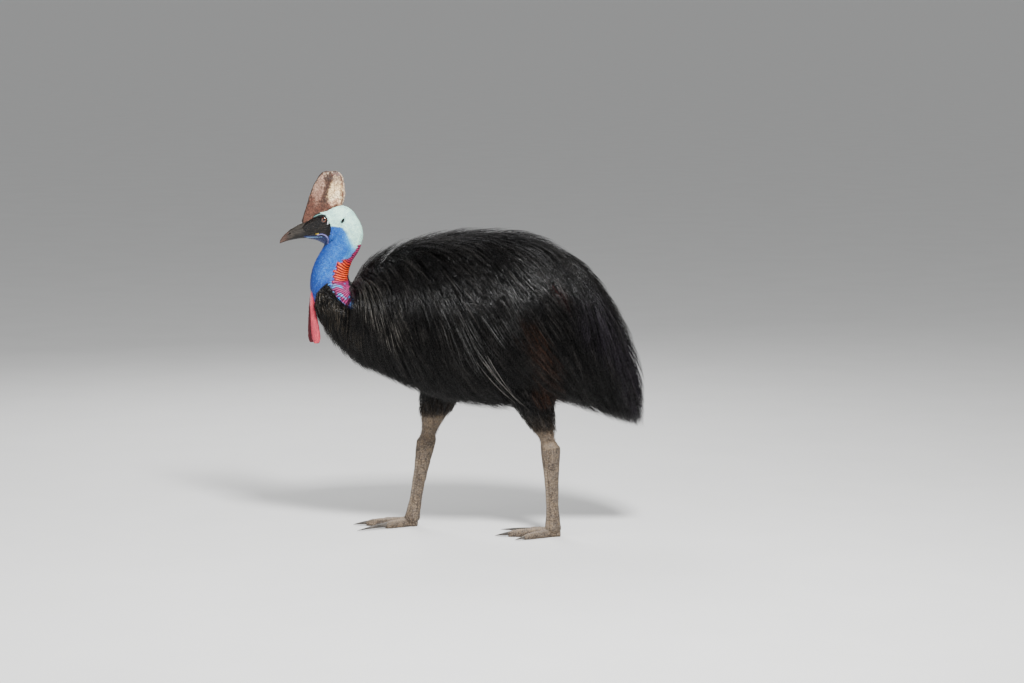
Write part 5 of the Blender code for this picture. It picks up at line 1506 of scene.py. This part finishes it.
def paint_legs(layers, places, wander):
    """Fawn legs with dark grooves round their scales. Returns where the legs are bare."""
    y, z = places[:, 1], places[:, 2]
    bare_leg = np.zeros(len(places))
    for side_name, side in SIDES.items():
        on_side = y * side > 0
        hip, hock, _ = (np.array(spot) for spot in LEGS[side_name])
        top = hip[2] + (hock[2] - hip[2]) * THIGH_FEATHERS_END[side_name]
        leg = on_side * smooth(top + 0.012, top - 0.012, z + 4 * wander)
        bare_leg = np.maximum(bare_leg, leg)
        height, plate = scale_relief(places, side_name)
        layers.add(leg, LEG)
        layers.add(leg * 0.7 * smooth(0.0, 1.0, ripple(places, 0.045, 56)), LEG_BROWN)
        layers.add(leg * 0.85 * plate * smooth(0.35, 0.9, height), LEG_PALE)
        layers.add(leg * 0.45 * (1 - plate) * smooth(0.5, 0.8, height), LEG_PALE)
        layers.add(leg * smooth(0.330, 0.300, z) * 0.85 * smooth(0.30, 0.05, height), LEG_GROOVE)
    return bare_leg


def paint_skin(obj):
    """The colours and the roughness of the skin, from where each point lies."""
    places = points_of(obj)
    place, angle = neck_field(places)
    wander = 0.0016 * ripple(places, 0.012, 51) + 0.0008 * ripple(places, 0.005, 52)
    bare = bare_share(places[:, 0] + wander, places[:, 2] + wander)
    layers = Layers(len(places), BLACK_SKIN)
    paint_neck(layers, places, place, angle, bare, wander)
    paint_folds(layers, places, place, angle, bare)
    mask = paint_face(layers, places, bare, wander)
    paint_wattles(layers, places)
    bare_leg = paint_legs(layers, places, wander)
    set_colour(obj, "paint", layers.colours)
    set_attribute(obj, "rough", SKIN_ROUGHNESS - 0.10 * bare + 0.14 * bare_leg - 0.08 * mask)


def build_skin(material):
    """One skin over head, neck, body and legs."""
    pieces = [neck_skin(), head_skin(), wattle_skin(-1.0), wattle_skin(1.0)]
    for side in SIDES.values():
        pieces.append(eyelids(side))
        for centre, sizes, tilt in HEAD_FORMS:
            pieces.append(blob((centre[0], centre[1] * side, centre[2]), sizes, tilt))
    fine = remeshed("skin", pieces, HEAD_VOXEL, 3)
    shape_skin(fine)
    rows = 60
    along, turn = np.meshgrid(np.linspace(0, LAST, rows), np.linspace(0, -2 * math.pi, rows, endpoint=False),
                              indexing="ij")
    along, turn = along.ravel(), turn.ravel()
    others = [tube("body", coat_place(along, turn, table(SKIN_DEPTHS, along)).reshape(rows, rows, 3))]
    for side_name, (hip, hock, _) in LEGS.items():
        thigh = [(share, depth + THIGH_SKIN * THIGH_COAT, width + THIGH_SKIN * THIGH_COAT)
                 for share, depth, width in THIGH_GIRTH[:-1]] + THIGH_GIRTH[-1:]
        others.append(tube("thigh", limb(hip, hock, thigh, 60, 48)))
        others.append(foot_skin(side_name))
    unite(fine, others)
    paint_skin(fine)
    fine.data.materials.clear()
    fine.data.materials.append(material)
    fine.data.shade_smooth()
    flesh = ["head", "neck_upper", "neck_lower", "torso", "tail", "wattle_left", "wattle_right"]
    for side_name in SIDES:
        flesh += [f"thigh_{side_name}", f"shank_{side_name}"]
        flesh += [f"toe_{toe}_{side_name}" for toe in TOES]
    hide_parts(*flesh)
    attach(fine, "root")
    return fine


# Horn: casque, bill and claws

def casque_colours(places):
    """Reddish brown in front, mottled cream above, a dark band down the middle and a cream patch behind."""
    x, _, z = places.T
    warp = 0.010 * ripple(places, 0.040, 61) + 0.005 * ripple(places, 0.016, 62)
    layers = Layers(len(x), CASQUE_BASE)
    for (centre_x, centre_z, reach_x, reach_z, tilt), colour, strength in CASQUE_ZONES:
        turn = math.radians(tilt)
        off_x, off_z = x + warp - centre_x, z + warp - centre_z
        across = off_x * math.cos(turn) - off_z * math.sin(turn)
        along = off_x * math.sin(turn) + off_z * math.cos(turn)
        layers.add(strength * smooth(1.15, 0.70, np.hypot(across / reach_x, along / reach_z)), colour)
    heights, fronts, rears, _ = np.array(CASQUE_SECTIONS).T
    front, rear = np.interp(z, heights, fronts), np.interp(z, heights, rears)
    layers.add(0.95 * smooth(0.0075, 0.0030, x - front + 0.3 * warp), CASQUE_EDGE_TONES[0])
    layers.add(0.80 * smooth(0.0070, 0.0030, rear - x) * smooth(1.14, 1.17, z), CASQUE_EDGE_TONES[1])
    layers.add(0.75 * smooth(1.2665, 1.2700, z + 0.2 * warp), CASQUE_EDGE_TONES[2])
    return layers.colours


def build_casque(material):
    """The casque, keeled in front, with shallow dents."""
    rows, count = 120, 120
    places = np.linspace(0, len(CASQUE_SECTIONS) - 1, rows)
    z, front, rear, half_width = np.moveaxis(spline(CASQUE_SECTIONS, places), -1, 0)
    turn = np.linspace(0, 2 * math.pi, count, endpoint=False)
    along, across = np.cos(turn), np.sin(turn)
    keel = 1 - CASQUE_KEEL * np.maximum(0, -along)
    rings = np.empty((rows, count, 3))
    rings[..., 0] = ((front + rear) / 2)[:, None] + ((rear - front) / 2)[:, None] * along
    rings[..., 1] = half_width[:, None] * across * keel
    rings[..., 2] = z[:, None]
    obj = tube("casque_horn", rings, material)
    points = points_of(obj)
    dents = 0.0007 * ripple(points, 0.030, 63) + 0.0004 * ripple(points * DENT_STRETCH, 0.010, 64)
    flakes = cell_depth(points * FLAKE_STRETCH, 0.0080, 3.0) - 0.5
    dents += 0.0005 * flakes * smooth(-0.50, -0.45, points[:, 0])
    points = points + normals_of(obj) * (dents - CASQUE_INSET)[:, None]
    points[:, 2] = np.minimum(points[:, 2], cad_box[1][2])
    set_points(obj, points)
    set_colour(obj, "paint", casque_colours(points))
    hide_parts("casque")
    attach(obj, "root")


def bill_colours(places):
    """Black-brown horn with a painted sheen making it greyer along the side, brown towards the tip."""
    x, _, z = places.T
    culmen = np.interp(x, *np.array(BILL_SECTIONS).T[[0, 2]])
    colours = np.tile(np.array([0.007, 0.006, 0.0055]), (len(x), 1))
    # A paler band along the side is a painted sheen.
    painted_sheen = smooth(0.022, 0.010, np.abs(culmen - z - 0.016)) * smooth(-0.630, -0.600, x)
    colours = colours + (np.array([0.026, 0.022, 0.018]) - colours) * (0.8 * painted_sheen)[:, None]
    brown = smooth(-0.600, -0.632, x + 0.004 * ripple(places, 0.02, 71))
    return colours + (np.array([0.055, 0.030, 0.022]) - colours) * (0.85 * brown)[:, None]


def build_bill(material):
    """The two halves of the bill, with a groove and nostrils in the upper one."""
    rows, count = 110, 61
    sections = spline(BILL_SECTIONS, np.linspace(0, len(BILL_SECTIONS) - 1, rows))
    x, mouth, culmen, keel, half_width = np.moveaxis(sections, -1, 0)
    turn = np.linspace(0, math.pi, count)
    for name, edge, share in (("bill_upper", culmen, 1.0), ("bill_lower", keel, LOWER_BILL_WIDTH)):
        rings = np.empty((rows, count, 3))
        rings[..., 0] = x[:, None]
        rings[..., 1] = half_width[:, None] * share * np.cos(turn)
        rings[..., 2] = mouth[:, None] + (edge - mouth)[:, None] * np.sin(turn) ** 0.85
        if name == "bill_upper":
            bump = CULMEN_BUMP[2] * np.exp(-((x - CULMEN_BUMP[0]) / CULMEN_BUMP[1]) ** 2)
            rings[..., 2] += bump[:, None] * np.sin(turn) ** 6
            groove = np.exp(-((np.sin(turn) - 0.62) / 0.10) ** 2)[None] * smooth(-0.640, -0.615, x)[:, None]
            rings[..., 1] *= 1 - 0.09 * groove
        obj = tube(name + "_horn", rings, material)
        if name == "bill_upper":
            cuts = [blob((NOSTRIL[0], NOSTRIL[1] * side, NOSTRIL[2]), NOSTRIL_SIZE, -NOSTRIL_TILT)
                    for side in SIDES.values()]
            unite(obj, cuts, "DIFFERENCE")
            obj.data.materials.clear()
            obj.data.materials.append(material)
            obj.data.shade_smooth()
        set_colour(obj, "paint", bill_colours(points_of(obj)))
        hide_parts(name)
        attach(obj, "root")


def build_claws(material):
    """A tapered claw on each toe, longest on the inner one."""
    for side_name in SIDES:
        for toe, (start, length, radius, height) in CLAWS.items():
            foot, ahead, across = toe_frame(side_name, toe)
            share = np.linspace(0, 1, 40)
            thick = radius * np.maximum(0.06, (1 - share) ** 0.75)
            drop = (height - CLAW_TIP_HEIGHT) * share ** 1.6
            centre = foot + ahead * (start + length * share)[:, None] + UP * (height - drop)[:, None]
            rings = ovals(centre, np.tile(UP, (40, 1)), np.tile(across, (40, 1)), thick, thick * 0.85, 24)
            obj = tube(f"claw_{toe}_{side_name}_horn", rings, material)
            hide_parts(f"claw_{toe}_{side_name}")
            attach(obj, "root")


def build_eyes(material):
    """The eyeballs, with the distance from the pupil on each point."""
    for side_name, side in SIDES.items():
        turn = np.linspace(0.01, math.pi - 0.01, 40)
        centre = np.array([EYE_CENTRE[0], EYE_CENTRE[1] * side, EYE_CENTRE[2]])
        rows = centre + (ACROSS * side) * (np.cos(turn) * EYE_RADIUS)[:, None]
        rings = ovals(rows, np.tile(UP, (40, 1)), np.tile(AHEAD, (40, 1)), np.sin(turn) * EYE_RADIUS,
                      np.sin(turn) * EYE_RADIUS, 48)
        obj = tube(f"eyeball_{side_name}", rings, material)
        places = points_of(obj) - centre
        set_attribute(obj, "radius", np.hypot(places[:, 0], places[:, 2]) / EYE_RADIUS)
        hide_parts("eye_" + side_name)
        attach(obj, "root")


# Studio

def build_studio():
    """The floor, an even sky and three soft lights."""
    corners = np.array([[-1.0, -1.0, 0.0], [1.0, -1.0, 0.0], [1.0, 1.0, 0.0], [-1.0, 1.0, 0.0]])
    floor = mesh_object("floor", corners * FLOOR_REACH, np.array([[0, 1, 2, 3]]), floor_material())
    world = bpy.data.worlds.new("studio")
    bpy.context.scene.world = world
    world.use_nodes = True
    world.node_tree.nodes["Background"].inputs["Color"].default_value = SKY_LIGHT
    world.node_tree.nodes["Background"].inputs["Strength"].default_value = SKY_STRENGTH
    for name, place, power, size in LIGHTS:
        light = bpy.data.lights.new(name, "AREA")
        light.energy = power
        light.size = size
        obj = bpy.data.objects.new(name, light)
        obj.location = place
        obj.rotation_euler = (Vector(LIGHT_AIM) - Vector(place)).to_track_quat("-Z", "Y").to_euler()
        bpy.context.scene.collection.objects.link(obj)


def build_camera():
    """The camera, at the photograph's angle."""
    camera = bpy.data.cameras.new("camera")
    camera.lens = CAMERA_LENS
    obj = bpy.data.objects.new("camera", camera)
    tilt = math.radians(CAMERA_ELEVATION)
    obj.location = Vector(CAMERA_TARGET) + CAMERA_DISTANCE * Vector((0, -math.cos(tilt), math.sin(tilt)))
    obj.rotation_euler = (math.radians(90) - tilt, 0, 0)
    bpy.context.scene.collection.objects.link(obj)
    bpy.context.scene.camera = obj


def main():
    """Builds every piece."""
    rng = np.random.default_rng(SEED)
    build_camera()
    build_studio()
    plumage = plumage_material()
    build_skin(skin_material())
    build_body_coat(plumage, rng)
    build_thigh_coats(plumage, rng)
    build_neck_coat(plumage, rng)
    build_quills(horn_material("quill", *QUILL_TONES, 0.40))
    build_casque(casque_material())
    build_bill(bill_material())
    build_claws(horn_material("claw", *CLAW_TONES, 0.36))
    build_eyes(eye_material())


main()
